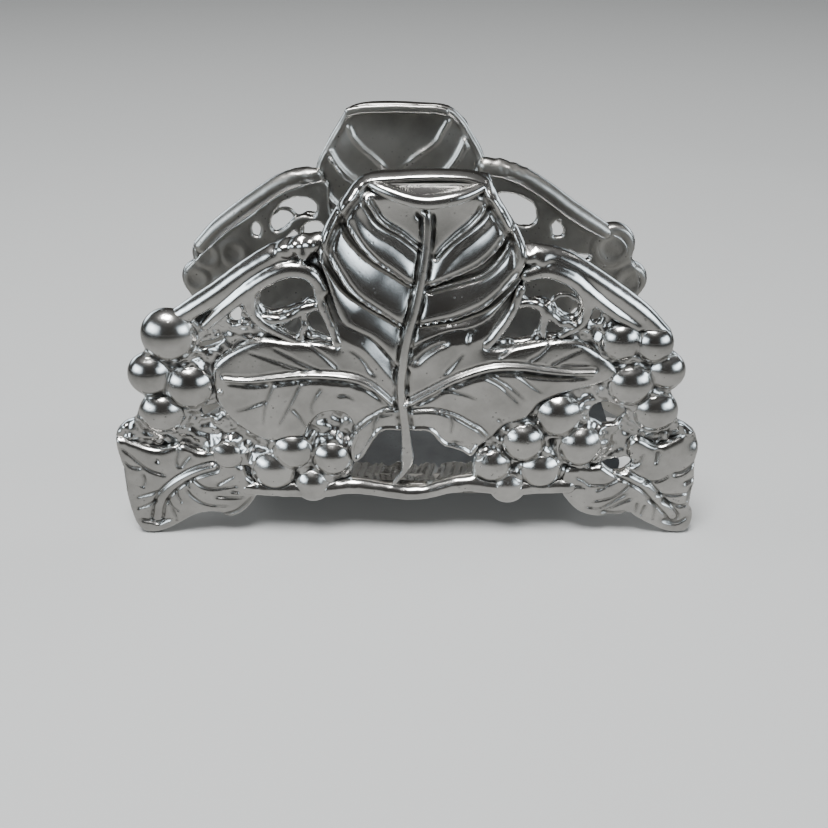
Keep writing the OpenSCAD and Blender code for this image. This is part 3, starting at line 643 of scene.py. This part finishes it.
foot_left_edge, foot_right_edge = outline(FOOT_LEFT), outline(FOOT_RIGHT)
foot_left_h = foot_front(foot_left_edge, FOOT_MID_LEFT, FOOT_VEINS_LEFT, FOOT_FOLDS_LEFT, (-74, 19))
foot_left_h -= 0.8 * bell(np.hypot(X2 + 78.4, Z2 - 28.4), 0.8)
foot_right_h = foot_front(foot_right_edge, FOOT_MID_RIGHT, FOOT_VEINS_RIGHT, FOOT_FOLDS_RIGHT, (72, 20))
foot_right_h -= 1.5 * bell(np.hypot(X2 - 86, Z2 - 35.5), 3.4)

# ---- the panel's solids ------------------------------------------------------------------------
rough3 = grain(0.8, (0, 1, 2))
bark_share = 0.12 + 1.3 * bell(np.abs(XS) - 31, 7)               # the arches are coarse beside the leaf
bark3 = rough3 * bark_share.astype(np.float32)[:, None, None]
fields = {}

f = new_field()
plate(f, leaf_edge, leaf_h, leaf_back, radius=1.1)
fields["leaf"] = f

# the tip: a shallow dish that slopes out from the leaf's top edge to a rolled front edge
f = new_field()
tube(f, TIP_ROLL, k=0.6, steps=6)
tip = smooth_path(TIP_ROLL, 8)
roll_z, roll_t, roll_r = (np.interp(XS, tip[:, 0], tip[:, i])[:, None] for i in (1, 2, 3))
RIM = [(-16, 114.5), (-13.3, 116.5), (-9, 117.5), (3.5, 117.9), (14, 117.7), (20.3, 116.5), (23, 114.5)]
rim_z = np.interp(XS, *zip(*RIM))[:, None]
out_share = np.clip((TS[None, :] - 0.6) / np.maximum(roll_t - 0.6, 0.5), 0, 1)
sag = 0.3 * np.sin(np.pi * out_share) * np.clip((roll_r - 1.0) * 3, 0, 1)
dish_top = rim_z + (roll_z + roll_r - rim_z) * out_share - sag
dish_top = blur(dish_top.astype(np.float32), 0.5, (0, 1))
over = ZS[None, :, None] - dish_top[:, None, :]
sheet = np.maximum(over, -2.4 - over) * 0.86
sheet = smax(sheet, np.maximum(T3 - roll_t[:, :, None], -1.5 - T3), 0.6)
sheet = smax(sheet, np.abs(XS[:, None, None] - 3.5) - 16.6, 0.8)
fields["leaf_ribs"] = np.minimum(smin(f, sheet, 0.6), FAR).astype(np.float32)

f = new_field()
tube(f, STALK, k=0.4)
tube(f, TWIG, k=0.8)
fields["leaf_stalk"] = f

for side, arch, band, loop, roll, knots in (
        ("left", ARCH_LEFT, BAND_LEFT, LOOP_LEFT, ROLL_LEFT, KNOTS_LEFT),
        ("right", ARCH_RIGHT, BAND_RIGHT, LOOP_RIGHT, ROLL_RIGHT, KNOTS_RIGHT)):
    f = new_field()
    tube(f, arch, bark=0.12, noise=bark3)
    tube(f, band, k=1.1)
    tube(f, loop, k=1.2)
    tube(f, roll, k=1.0, bark=0.06, noise=rough3)
    for x, z, t, r in knots:
        ball(f, x, z, t, r, k=1.2)
    fields["vine_" + side] = f

f = new_field()
tube(f, BOTTOM, bark=0.04, noise=rough3)
fields["bottom_vine"] = f

f = new_field()
for path in TENDRILS:
    tube(f, path, k=0.9, bark=0.2, noise=rough3)
fields["tendrils"] = f

for name, grapes in (("grapes_left", GRAPES_LEFT), ("grapes_right", GRAPES_RIGHT)):
    f = new_field()
    for i, (x, z, r) in enumerate(grapes):
        wobble = 1 + 0.03 * np.sin(5.1 * i + np.array([0.3, 1.7, 2.9]))
        ball(f, x, z, GRAPE_DEPTH, r / 1.02, k=0.5, stretch=wobble * [1, 1, GRAPE_RISE])
    hollow = new_field()                         # shallow dents behind the grapes
    for x, z, r in grapes:
        ball(hollow, x, z, -3.6, r * 0.55, k=0.3)
    f = smax(f, (WEB_FRONT - WEB_THICK) - T3, 0.8)
    if name == "grapes_left":                    # a drop of metal on the largest grape's edge
        ball(f, -56.8, 52.4, 3.0, 1.1, k=0.4)
    fields[name] = smax(f, -hollow, 1.6).astype(np.float32)

for name, edge in (("web_left", web_left_edge), ("web_right", web_right_edge)):
    f = new_field()
    plate(f, edge, web_h, web_back, radius=0.9)
    fields[name] = f

for name, edge, h in (("foot_leaf_left", foot_left_edge, foot_left_h),
                      ("foot_leaf_right", foot_right_edge, foot_right_h)):
    f = new_field()
    plate(f, edge, h, blur(h, 0.8, (0, 1)) - FOOT_THICK, radius=1.1)
    f = smax(f, -ZS[None, :, None] + 0.02, 0.5).astype(np.float32)
    fields[name] = f

# the low part of the ground weld, between the plate's long edge and the bottom cane
zz = ZS[None, :, None]
weld = np.maximum(np.maximum(zz - PLATE_TOP - 1.2, PLATE_LOW + 0.1 - zz), np.maximum(T3 - 0.4, -5.2 - T3))
weld = np.maximum(weld, np.maximum(0.6 - WELD_LEFT - XS[:, None, None], XS[:, None, None] - WELD_RIGHT + 0.6))
fields["base_weld"] = np.minimum(weld, FAR).astype(np.float32)

NAMES = list(fields)

# ---- one skin, cut where the ornaments meet ----------------------------------------------------
ROUND = {"leaf": 0.7, "leaf_ribs": 0.6, "leaf_stalk": 0.35, "tendrils": 1.2, "web_left": 1.3,
         "web_right": 1.3, "grapes_left": 0.35, "grapes_right": 0.35, "base_weld": 0.5, "bottom_vine": 0.7}
skin = new_field() + 2
first, second = new_field() + 2, new_field() + 2
owner = np.zeros(tuple(COUNT), np.uint8)
for i, name in enumerate(NAMES):
    d = fields[name]
    skin = smin(skin, d, ROUND.get(name, 0.8))
    nearer = d < first
    second = np.where(nearer, first, np.minimum(second, d))
    first = np.where(nearer, d, first)
    owner = np.where(nearer, np.uint8(i), owner)

# blurring the solid measures how enclosed each place is; the metal darkens by it, partly as unbuffed cast and
# partly as painted shade in creases and recesses
occupied = np.clip(0.5 - skin / STEP, 0, 1)
hollow_fine = blur(occupied, 0.9, (0, 1, 2))
hollow_wide = blur(occupied, 2.4, (0, 1, 2))


def sample(volume, index):
    """Trilinear value of the volume at fractional grid points."""
    top = np.array(volume.shape) - 1.001
    q = np.clip(index, 0, top)
    i = q.astype(int)
    f = (q - i).astype(np.float32)
    out = 0
    for dx in (0, 1):
        for dz in (0, 1):
            for dt in (0, 1):
                x, z, t = (f[:, n] if up else 1 - f[:, n] for n, up in enumerate((dx, dz, dt)))
                weight = x * z * t
                out = out + weight * volume[i[:, 0] + dx, i[:, 1] + dz, i[:, 2] + dt]
    return out


def flat_sample(plan, index):
    """Bilinear value of a flat map at fractional grid points."""
    q = np.clip(index[:, :2], 0, np.array(plan.shape) - 1.001)
    i = q.astype(int)
    a, b = (q - i).T
    return ((1 - a) * (1 - b) * plan[i[:, 0], i[:, 1]] + a * (1 - b) * plan[i[:, 0] + 1, i[:, 1]]
            + (1 - a) * b * plan[i[:, 0], i[:, 1] + 1] + a * b * plan[i[:, 0] + 1, i[:, 1] + 1])


def mesh_of(field):
    """Quads round the field's zero surface: places in the grid, faces, and slope out of the panel."""
    inside = np.argwhere(field < 1.5)
    lo = np.maximum(inside.min(0) - 2, 0)
    hi = np.minimum(inside.max(0) + 3, np.array(field.shape))
    part = np.ascontiguousarray(field[lo[0]:hi[0], lo[1]:hi[1], lo[2]:hi[2]], dtype=np.float32)
    grid = vdb.FloatGrid(background=3.0)
    grid.copyFromArray(part)
    points, quads = grid.convertToQuads(isovalue=0.0)
    p = points + lo
    for _ in range(2):
        e = 0.35
        value = sample(field, p)
        slope = [sample(field, p + e * a) - sample(field, p - e * a) for a in np.eye(3)]
        slope = np.stack(slope, 1) / (2 * e)
        p = p - np.clip(value / np.maximum((slope**2).sum(1), 0.02), -0.8, 0.8)[:, None] * slope
    nt = (sample(field, p + [0, 0, 0.5]) - sample(field, p - [0, 0, 0.5])) / STEP
    return p, quads, nt


def slab(bx, by, high, low):
    """Closed block between two height grids over the same flat grid of points."""
    rows, cols = bx.shape
    verts = np.concatenate([np.stack([bx, by, level], -1).reshape(-1, 3) for level in (high, low)])
    at = np.arange(rows * cols).reshape(rows, cols)
    quads = np.stack([at[:-1, :-1], at[1:, :-1], at[1:, 1:], at[:-1, 1:]], -1).reshape(-1, 4)
    n = rows * cols
    rim = np.concatenate([at[:, 0], at[-1, 1:], at[-2::-1, -1], at[0, -2:0:-1]])
    after = np.roll(rim, -1)
    sides = np.stack([rim, rim + n, after + n, after], -1)[:, ::-1]
    return verts, np.concatenate([quads, quads[:, ::-1] + n, sides])


def put_mesh(name, verts, faces, attributes, turn=False):
    me = bpy.data.meshes.new(name)
    me.vertices.add(len(verts))
    v = verts * MM
    if turn:
        v = v * [-1, -1, 1]
    me.vertices.foreach_set("co", v.astype(np.float32).ravel())
    me.loops.add(faces.size)
    me.loops.foreach_set("vertex_index", faces.astype(np.int32).ravel())
    me.polygons.add(len(faces))
    me.polygons.foreach_set("loop_start", (np.arange(len(faces)) * faces.shape[1]).astype(np.int32))
    me.polygons.foreach_set("loop_total", np.full(len(faces), faces.shape[1], np.int32))
    me.update(calc_edges=True)
    me.polygons.foreach_set("use_smooth", np.ones(len(faces), bool))
    for key, values in attributes.items():
        a = me.attributes.new(key, "FLOAT", "POINT")
        a.data.foreach_set("value", values.astype(np.float32))
    me.update()
    o = bpy.data.objects.new(name, me)
    bpy.context.scene.collection.objects.link(o)
    return o


# the weld's ground face: it runs over the plate's margin, scored by the grinder across its length
line = np.random.default_rng(7)
run = np.linspace(SHIFT_X - WELD_LEFT + 0.5, SHIFT_X + WELD_RIGHT - 0.5, 420)
score = np.convolve(line.standard_normal(len(run)), np.hanning(13), "same") * 0.09
score += np.convolve(line.standard_normal(len(run)), np.hanning(7), "same") * 0.03
ragged = np.convolve(line.standard_normal(len(run)), np.hanning(31), "same") * 0.12
share = np.linspace(0, 1, 24)
wx, ws = np.meshgrid(run, share, indexing="ij")
weld_end = weld_hi.y / MM - 0.4
wy = PANEL_Y - 0.4 + (weld_end - PANEL_Y + 0.4 - np.abs(ragged)[:, None] * 2.0) * ws
drift = np.stack([np.interp(run + 0.5 * np.sin(6 * q), run, score) for q in share], 1)
wz = PLATE_TOP - 0.12 + (weld_hi.z / MM - PLATE_TOP - 0.1) * (1 - ws) ** 1.15
wz += (drift + 0.12) * np.sin(np.pi * ws) ** 0.4
ramp_verts, ramp_faces = slab(wx, wy, wz, np.full(wx.shape, PLATE_LOW + 0.3))

ROUGH_PIECES = {"web_left", "web_right", "tendrils", "base_weld"}
SLOTS = {n: ("rough_cast_aluminium" if n in ROUGH_PIECES else "polished_aluminium") for n in NAMES}
sheets = np.minimum(fields["leaf"], np.minimum(fields["foot_leaf_left"], fields["foot_leaf_right"]))
pieces = []
for i, name in enumerate(NAMES):
    d = fields[name]
    others = np.where(owner == i, second, first)
    cut = smax(skin, d - others - 0.16, 0.25)
    p, faces, facing = mesh_of(cut)
    crease = (sample(hollow_fine, p) - 0.5) * 2
    recess = (sample(hollow_wide, p) - 0.5) * 2
    mm = LO + p * STEP
    verts = np.stack([mm[:, 0] + SHIFT_X, PANEL_Y - mm[:, 2], mm[:, 1]], 1)
    verts[:, 2] = np.maximum(verts[:, 2], 0.0)
    if name == "base_weld":
        verts, faces = np.concatenate([verts, ramp_verts]), np.concatenate([faces, ramp_faces + len(verts)])
        crease = np.concatenate([crease, np.full(len(ramp_verts), 0.1)])
        recess = np.concatenate([recess, np.full(len(ramp_verts), 0.1)])
        facing = np.concatenate([facing, np.ones(len(ramp_verts))])
    inner = np.clip(-(facing + 0.15) / 0.5, 0, 1)
    ink_and_shadow = np.zeros(len(verts))
    engraved = np.clip(facing[:len(p)] * 2, 0, 1) * np.clip(1.2 - sample(sheets, p) / 0.8, 0, 1)
    ink_and_shadow[:len(p)] = flat_sample(INK_AND_SHADOW, p) * engraved
    data = {"crease": crease, "recess": recess, "inner": inner, "ink_and_shadow": ink_and_shadow}
    for side, turn in (("front", False), ("back", True)):
        o = put_mesh(f"{side}_{name}_cast", verts, faces, data, turn)
        pieces.append((o, f"{side}_{name}", SLOTS[name]))

# ---- the base plate ----------------------------------------------------------------------------
nx, ny = 260, 130
hx, hy = PLATE_HALF_X - 0.2, PLATE_HALF_Y - 0.1
u, v = np.linspace(-1, 1, nx), np.linspace(-1, 1, ny)
U, V = np.meshgrid(u, v, indexing="ij")
corner = 9.0
bx, by = U * hx, V * hy
inset = np.maximum(np.abs(by) - (hy - corner), 0)
span = hx - corner + np.sqrt(np.maximum(corner**2 - inset**2, 0))
bx = bx * span / hx
plate_verts, plate_faces = slab(bx, by, np.full(bx.shape, PLATE_TOP - 0.05), np.full(bx.shape, PLATE_LOW))
clean = dict.fromkeys(("crease", "recess", "inner", "ink_and_shadow"), np.zeros(len(plate_verts)))
base = put_mesh("base_plate_cast", plate_verts, plate_faces, clean)
bpy.context.view_layer.objects.active = base
bevel = base.modifiers.new("edge", "BEVEL")
bevel.width, bevel.segments, bevel.limit_method = 0.0008, 3, "ANGLE"
pieces.append((base, "base_plate", "satin_aluminium"))


# ---- materials ---------------------------------------------------------------------------------
def node(tree, kind, inputs=None, **settings):
    n = tree.nodes.new(kind)
    for key, value in settings.items():
        setattr(n, key, value)
    for key, value in (inputs or {}).items():
        if isinstance(value, bpy.types.NodeSocket):
            tree.links.new(value, n.inputs[key])
        else:
            n.inputs[key].default_value = value
    return n


def math_node(tree, operation, a, b, clamp=False):
    return node(tree, "ShaderNodeMath", {0: a, 1: b}, operation=operation, use_clamp=clamp).outputs[0]


def plus(tree, a, b):
    return math_node(tree, "ADD", a, b)


def times(tree, a, b):
    return math_node(tree, "MULTIPLY", a, b)


def blend(tree, share, a, b, kind="RGBA", mode="MIX"):
    """Mix of the socket a and the plain value b."""
    mix = node(tree, "ShaderNodeMix", data_type=kind)
    if kind == "RGBA":
        mix.blend_type = mode
    at, result = (6, 2) if kind == "RGBA" else (2, 0)
    tree.links.new(share, mix.inputs[0])
    tree.links.new(a, mix.inputs[at])
    mix.inputs[at + 1].default_value = b
    return mix.outputs[result]


def clouds(tree, place, scale, detail=2.0, roughness=0.5):
    inputs = {"Vector": place, "Scale": scale, "Detail": detail, "Roughness": roughness}
    return node(tree, "ShaderNodeTexNoise", inputs).outputs["Fac"]


def ramp(tree, value, stops):
    n = node(tree, "ShaderNodeValToRGB", {"Fac": value})
    e = n.color_ramp.elements
    while len(e) > 1:
        e.remove(e[-1])
    e[0].position, e[0].color = stops[0][0], (*stops[0][1], 1)
    for at, c in stops[1:]:
        e.new(at).color = (*c, 1)
    return n.outputs["Color"]


INNER_PAINTED_SHADE = (0.66, 0.65, 0.63)                # painted shade: how much darker the panels' inner faces, in the gap between the panels, are coloured
DULL_ROUGHNESS = 0.46


def cast_metal(name, tone, shade, shine, grainy):
    """Aluminium that is bright where it was buffed and grey and dull in its hollows. The hollows' darkening
    is partly unbuffed cast and partly painted shade, and the inner faces get painted shade too.
    """
    m = bpy.data.materials.new(name)
    m.use_nodes = True
    t = m.node_tree
    t.nodes.clear()
    out = node(t, "ShaderNodeOutputMaterial")
    crease, recess, inner, ink_and_shadow = (node(t, "ShaderNodeAttribute", attribute_name=n).outputs["Fac"]
                                  for n in ("crease", "recess", "inner", "ink_and_shadow"))
    place = node(t, "ShaderNodeTexCoord").outputs["Object"]
    fine = clouds(t, place, 900.0, 3.0, 0.6)
    wide = clouds(t, place, 110.0, 4.0, 0.6)
    soft = clouds(t, place, 34.0)
    cells = node(t, "ShaderNodeTexVoronoi", {"Vector": place, "Scale": 520.0}).outputs["Distance"]
    seldom = ramp(t, wide, [(0.50, (0, 0, 0)), (0.62, (1, 1, 1))])
    pit = times(t, ramp(t, cells, [(0.10, (1, 1, 1)), (0.22, (0, 0, 0))]), seldom)
    # darkening in creases and recesses: partly unbuffed cast, partly painted shade from the blurred solid
    dirt_and_shade_from = plus(t, times(t, crease, 2.2), times(t, recess, 0.8))
    patchy = times(t, math_node(t, "SUBTRACT", wide, 0.5), 0.7)
    dirt_and_shade_from = plus(t, dirt_and_shade_from, patchy)
    speckle = plus(t, times(t, fine, 0.9), 0.5)
    broken_ink_and_shadow = math_node(t, "MULTIPLY", ink_and_shadow, speckle, clamp=True)
    dirt_and_shade = math_node(t, "MAXIMUM", ramp(t, dirt_and_shade_from, [(0.30, (0, 0, 0)), (0.95, (1, 1, 1))]),
                     times(t, pit, 0.7))
    dirt_and_shade = math_node(t, "MAXIMUM", dirt_and_shade, broken_ink_and_shadow)
    worn = plus(t, times(t, soft, 0.5), times(t, wide, 0.5))
    buffed = ramp(t, worn, [(0.36, tuple(0.74 * c for c in tone)), (0.62, tuple(1.1 * c for c in tone))])
    color = blend(t, dirt_and_shade, buffed, (*shade, 1))
    # inner faces darkened in colour as painted shade between the panels
    inner_shaded_color = blend(t, inner, color, (*INNER_PAINTED_SHADE, 1), mode="MULTIPLY")
    varied = plus(t, times(t, wide, 0.08), times(t, soft, 0.08))
    dull = math_node(t, "MAXIMUM", dirt_and_shade, times(t, inner, 0.6))
    rough = blend(t, dull, plus(t, varied, shine - 0.08), DULL_ROUGHNESS, "FLOAT")
    height = plus(t, times(t, fine, grainy), times(t, wide, 0.4 * grainy + 0.55))
    height = math_node(t, "SUBTRACT", height, times(t, pit, 0.35))
    bump = node(t, "ShaderNodeBump", {"Height": height, "Strength": 0.25 + 0.5 * grainy, "Distance": 0.0003})
    bsdf = node(t, "ShaderNodeBsdfPrincipled", {
        "Base Color": inner_shaded_color, "Metallic": 1.0, "Roughness": rough, "Normal": bump.outputs[0]})
    t.links.new(bsdf.outputs[0], out.inputs[0])
    return m


METALS = {
    "polished_aluminium": cast_metal("polished_cast", (0.63, 0.617, 0.595), (0.11, 0.107, 0.10), 0.19, 0.05),
    "rough_cast_aluminium": cast_metal("rough_cast", (0.60, 0.59, 0.572), (0.07, 0.068, 0.065), 0.19, 0.4),
    # the base plate's very dark tone is painted shade and a painted dark reflection between the panels
    "satin_aluminium": cast_metal("satin_cast_painted_dark", (0.13, 0.14, 0.152), (0.09, 0.09, 0.09), 0.33, 0.35),
}
for o, cad_node, slot in pieces:
    o.data.materials.append(METALS[slot])
    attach(o, "root")
    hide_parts(cad_node)


# ---- floor, light and camera -------------------------------------------------------------------
bpy.ops.mesh.primitive_plane_add(size=40.0, location=(0, 0, 0))
floor = bpy.context.object
floor.name = "floor"
table = bpy.data.materials.new("table")
table.use_nodes = True
table_surface = table.node_tree.nodes["Principled BSDF"]
table_surface.inputs["Base Color"].default_value = (0.47, 0.48, 0.48, 1)
table_surface.inputs["Roughness"].default_value = 0.5
floor.data.materials.append(table)

world = bpy.data.worlds.new("studio")
bpy.context.scene.world = world
world.use_nodes = True
wt = world.node_tree
wt.nodes.clear()
direction = node(wt, "ShaderNodeTexCoord").outputs["Generated"]
split = node(wt, "ShaderNodeSeparateXYZ", {0: direction})
sky = ramp(wt, plus(wt, times(wt, split.outputs["Z"], 0.5), 0.5),
           [(0.52, (0.36, 0.37, 0.37)), (0.60, (0.24, 0.24, 0.24)), (0.78, (0.13, 0.13, 0.13))])
background = node(wt, "ShaderNodeBackground", {"Color": sky, "Strength": 1.0})
wout = node(wt, "ShaderNodeOutputWorld")
wt.links.new(background.outputs[0], wout.inputs[0])


AIM = Vector((0, 0, 0.05))                   # what every lamp points at


def area(name, at, width, height, power):
    lamp = bpy.data.lights.new(name, "AREA")
    lamp.shape, lamp.size, lamp.size_y, lamp.energy = "RECTANGLE", width, height, power
    o = bpy.data.objects.new(name, lamp)
    bpy.context.scene.collection.objects.link(o)
    o.location = at
    o.rotation_euler = (AIM - Vector(at)).to_track_quat("-Z", "Y").to_euler()


area("ceiling_lamp", (-0.16, -0.40, 1.35), 0.6, 0.5, 40)
area("left_fill", (-1.5, -0.1, 1.1), 0.5, 0.5, 5)
area("right_fill", (1.4, 0.4, 1.2), 0.5, 0.5, 4)


def card(name, verts, faces, tone, strength, mottle=0.0, soft=False):
    """A glowing studio card, no lamp, that is seen in the metal only: a painted reflection."""
    m = bpy.data.materials.new(name)
    m.use_nodes = True
    t = m.node_tree
    t.nodes.clear()
    out = node(t, "ShaderNodeOutputMaterial")
    glow = node(t, "ShaderNodeEmission", {"Color": (*tone, 1), "Strength": strength})
    if mottle:
        place = node(t, "ShaderNodeTexCoord").outputs["Object"]
        patch = times(t, clouds(t, place, 2.2), 2 * mottle * strength)
        t.links.new(plus(t, patch, (1 - mottle) * strength), glow.inputs["Strength"])
    if soft:
        spot = node(t, "ShaderNodeSeparateXYZ", {0: node(t, "ShaderNodeTexCoord").outputs["Generated"]})
        fall = strength
        for axis in ("Y", "Z"):
            v = spot.outputs[axis]
            hump = times(t, v, math_node(t, "SUBTRACT", 1.0, v))
            fall = times(t, times(t, hump, 4.0), fall)
        t.links.new(fall, glow.inputs["Strength"])
    t.links.new(glow.outputs[0], out.inputs[0])
    me = bpy.data.meshes.new(name)
    me.from_pydata(verts, [], faces)
    me.materials.append(m)
    o = bpy.data.objects.new(name, me)
    bpy.context.scene.collection.objects.link(o)
    o.visible_camera = o.visible_diffuse = o.visible_shadow = o.visible_transmission = False
    return o


def curved(radius, from_deg, to_deg, low, high, count):
    """Part of an upright cylinder; degrees are measured from the camera's side, to its right."""
    angles = [math.radians(from_deg + (to_deg - from_deg) * i / count) for i in range(count + 1)]
    verts = [(radius * math.sin(a), -radius * math.cos(a), z) for z in (low, high) for a in angles]
    faces = [(i, i + 1, i + count + 2, i + count + 1) for i in range(count)]
    return verts, faces


# the table as the metal sees it, painted on a glowing card: pale close by, and painted shade beyond, where
# the room's shade falls on it
CARD_LIFT = 0.0006
CARD_REACH = 1.2
corners = [(x * CARD_REACH, y * CARD_REACH, CARD_LIFT) for x, y in ((-1, -1), (1, -1), (1, 1), (-1, 1))]
near_card = card("table_card", corners, [(0, 1, 2, 3)], (0.97, 0.98, 0.96), 0.5)
nt = near_card.data.materials[0].node_tree
place = node(nt, "ShaderNodeTexCoord").outputs["Object"]
shrunk = node(nt, "ShaderNodeMapping", {"Vector": place, "Scale": (2.0, 2.0, 2.0)}).outputs[0]
spread = node(nt, "ShaderNodeTexGradient", {"Vector": shrunk}, gradient_type="SPHERICAL").outputs["Fac"]
cloud = times(nt, math_node(nt, "SUBTRACT", clouds(nt, place, 14.0), 0.5), 0.35)
shade = ramp(nt, plus(nt, spread, cloud),
             [(0.12, (0.04, 0.04, 0.04)), (0.46, (0.36, 0.36, 0.35)), (0.75, (0.56, 0.56, 0.55))])
nt.links.new(shade, nt.nodes["Emission"].inputs["Strength"])

WINDOW_TONE, WINDOW_RADIUS = (0.78, 0.90, 1.0), 1.25
# glowing cards seen only in the metal: a painted reflection of a dark room, and painted highlights from
# windows
card("room_card", *curved(1.35, -180, 180, 0.03, 1.45, 64), (1.0, 0.95, 0.89), 0.045, 0.5)
for name, from_deg, to_deg, top, strength in (("left_window_card", -84, -28, 0.72, 8.5),
                                              ("right_window_card", 28, 84, 0.72, 8.0),
                                              ("rear_left_window_card", -160, -106, 0.62, 5.0),
                                              ("rear_right_window_card", 106, 160, 0.62, 4.0)):
    card(name, *curved(WINDOW_RADIUS, from_deg, to_deg, 0.06, top, 10), WINDOW_TONE, strength, soft=True)

CAMERA_BACK, CAMERA_UP = 0.290, 0.199        # from the holder's middle, in metres
CAMERA_DOWN = 31.3                           # degrees below level
cam_data = bpy.data.cameras.new("camera")
cam_data.sensor_width = 36.0
cam_data.lens = 43.478
cam_data.clip_start = 0.01
cam = bpy.data.objects.new("camera", cam_data)
bpy.context.scene.collection.objects.link(cam)
cam.location = (SHIFT_X * MM, -CAMERA_BACK, CAMERA_UP)
cam.rotation_euler = (math.radians(90 - CAMERA_DOWN), 0, 0)
bpy.context.scene.camera = cam
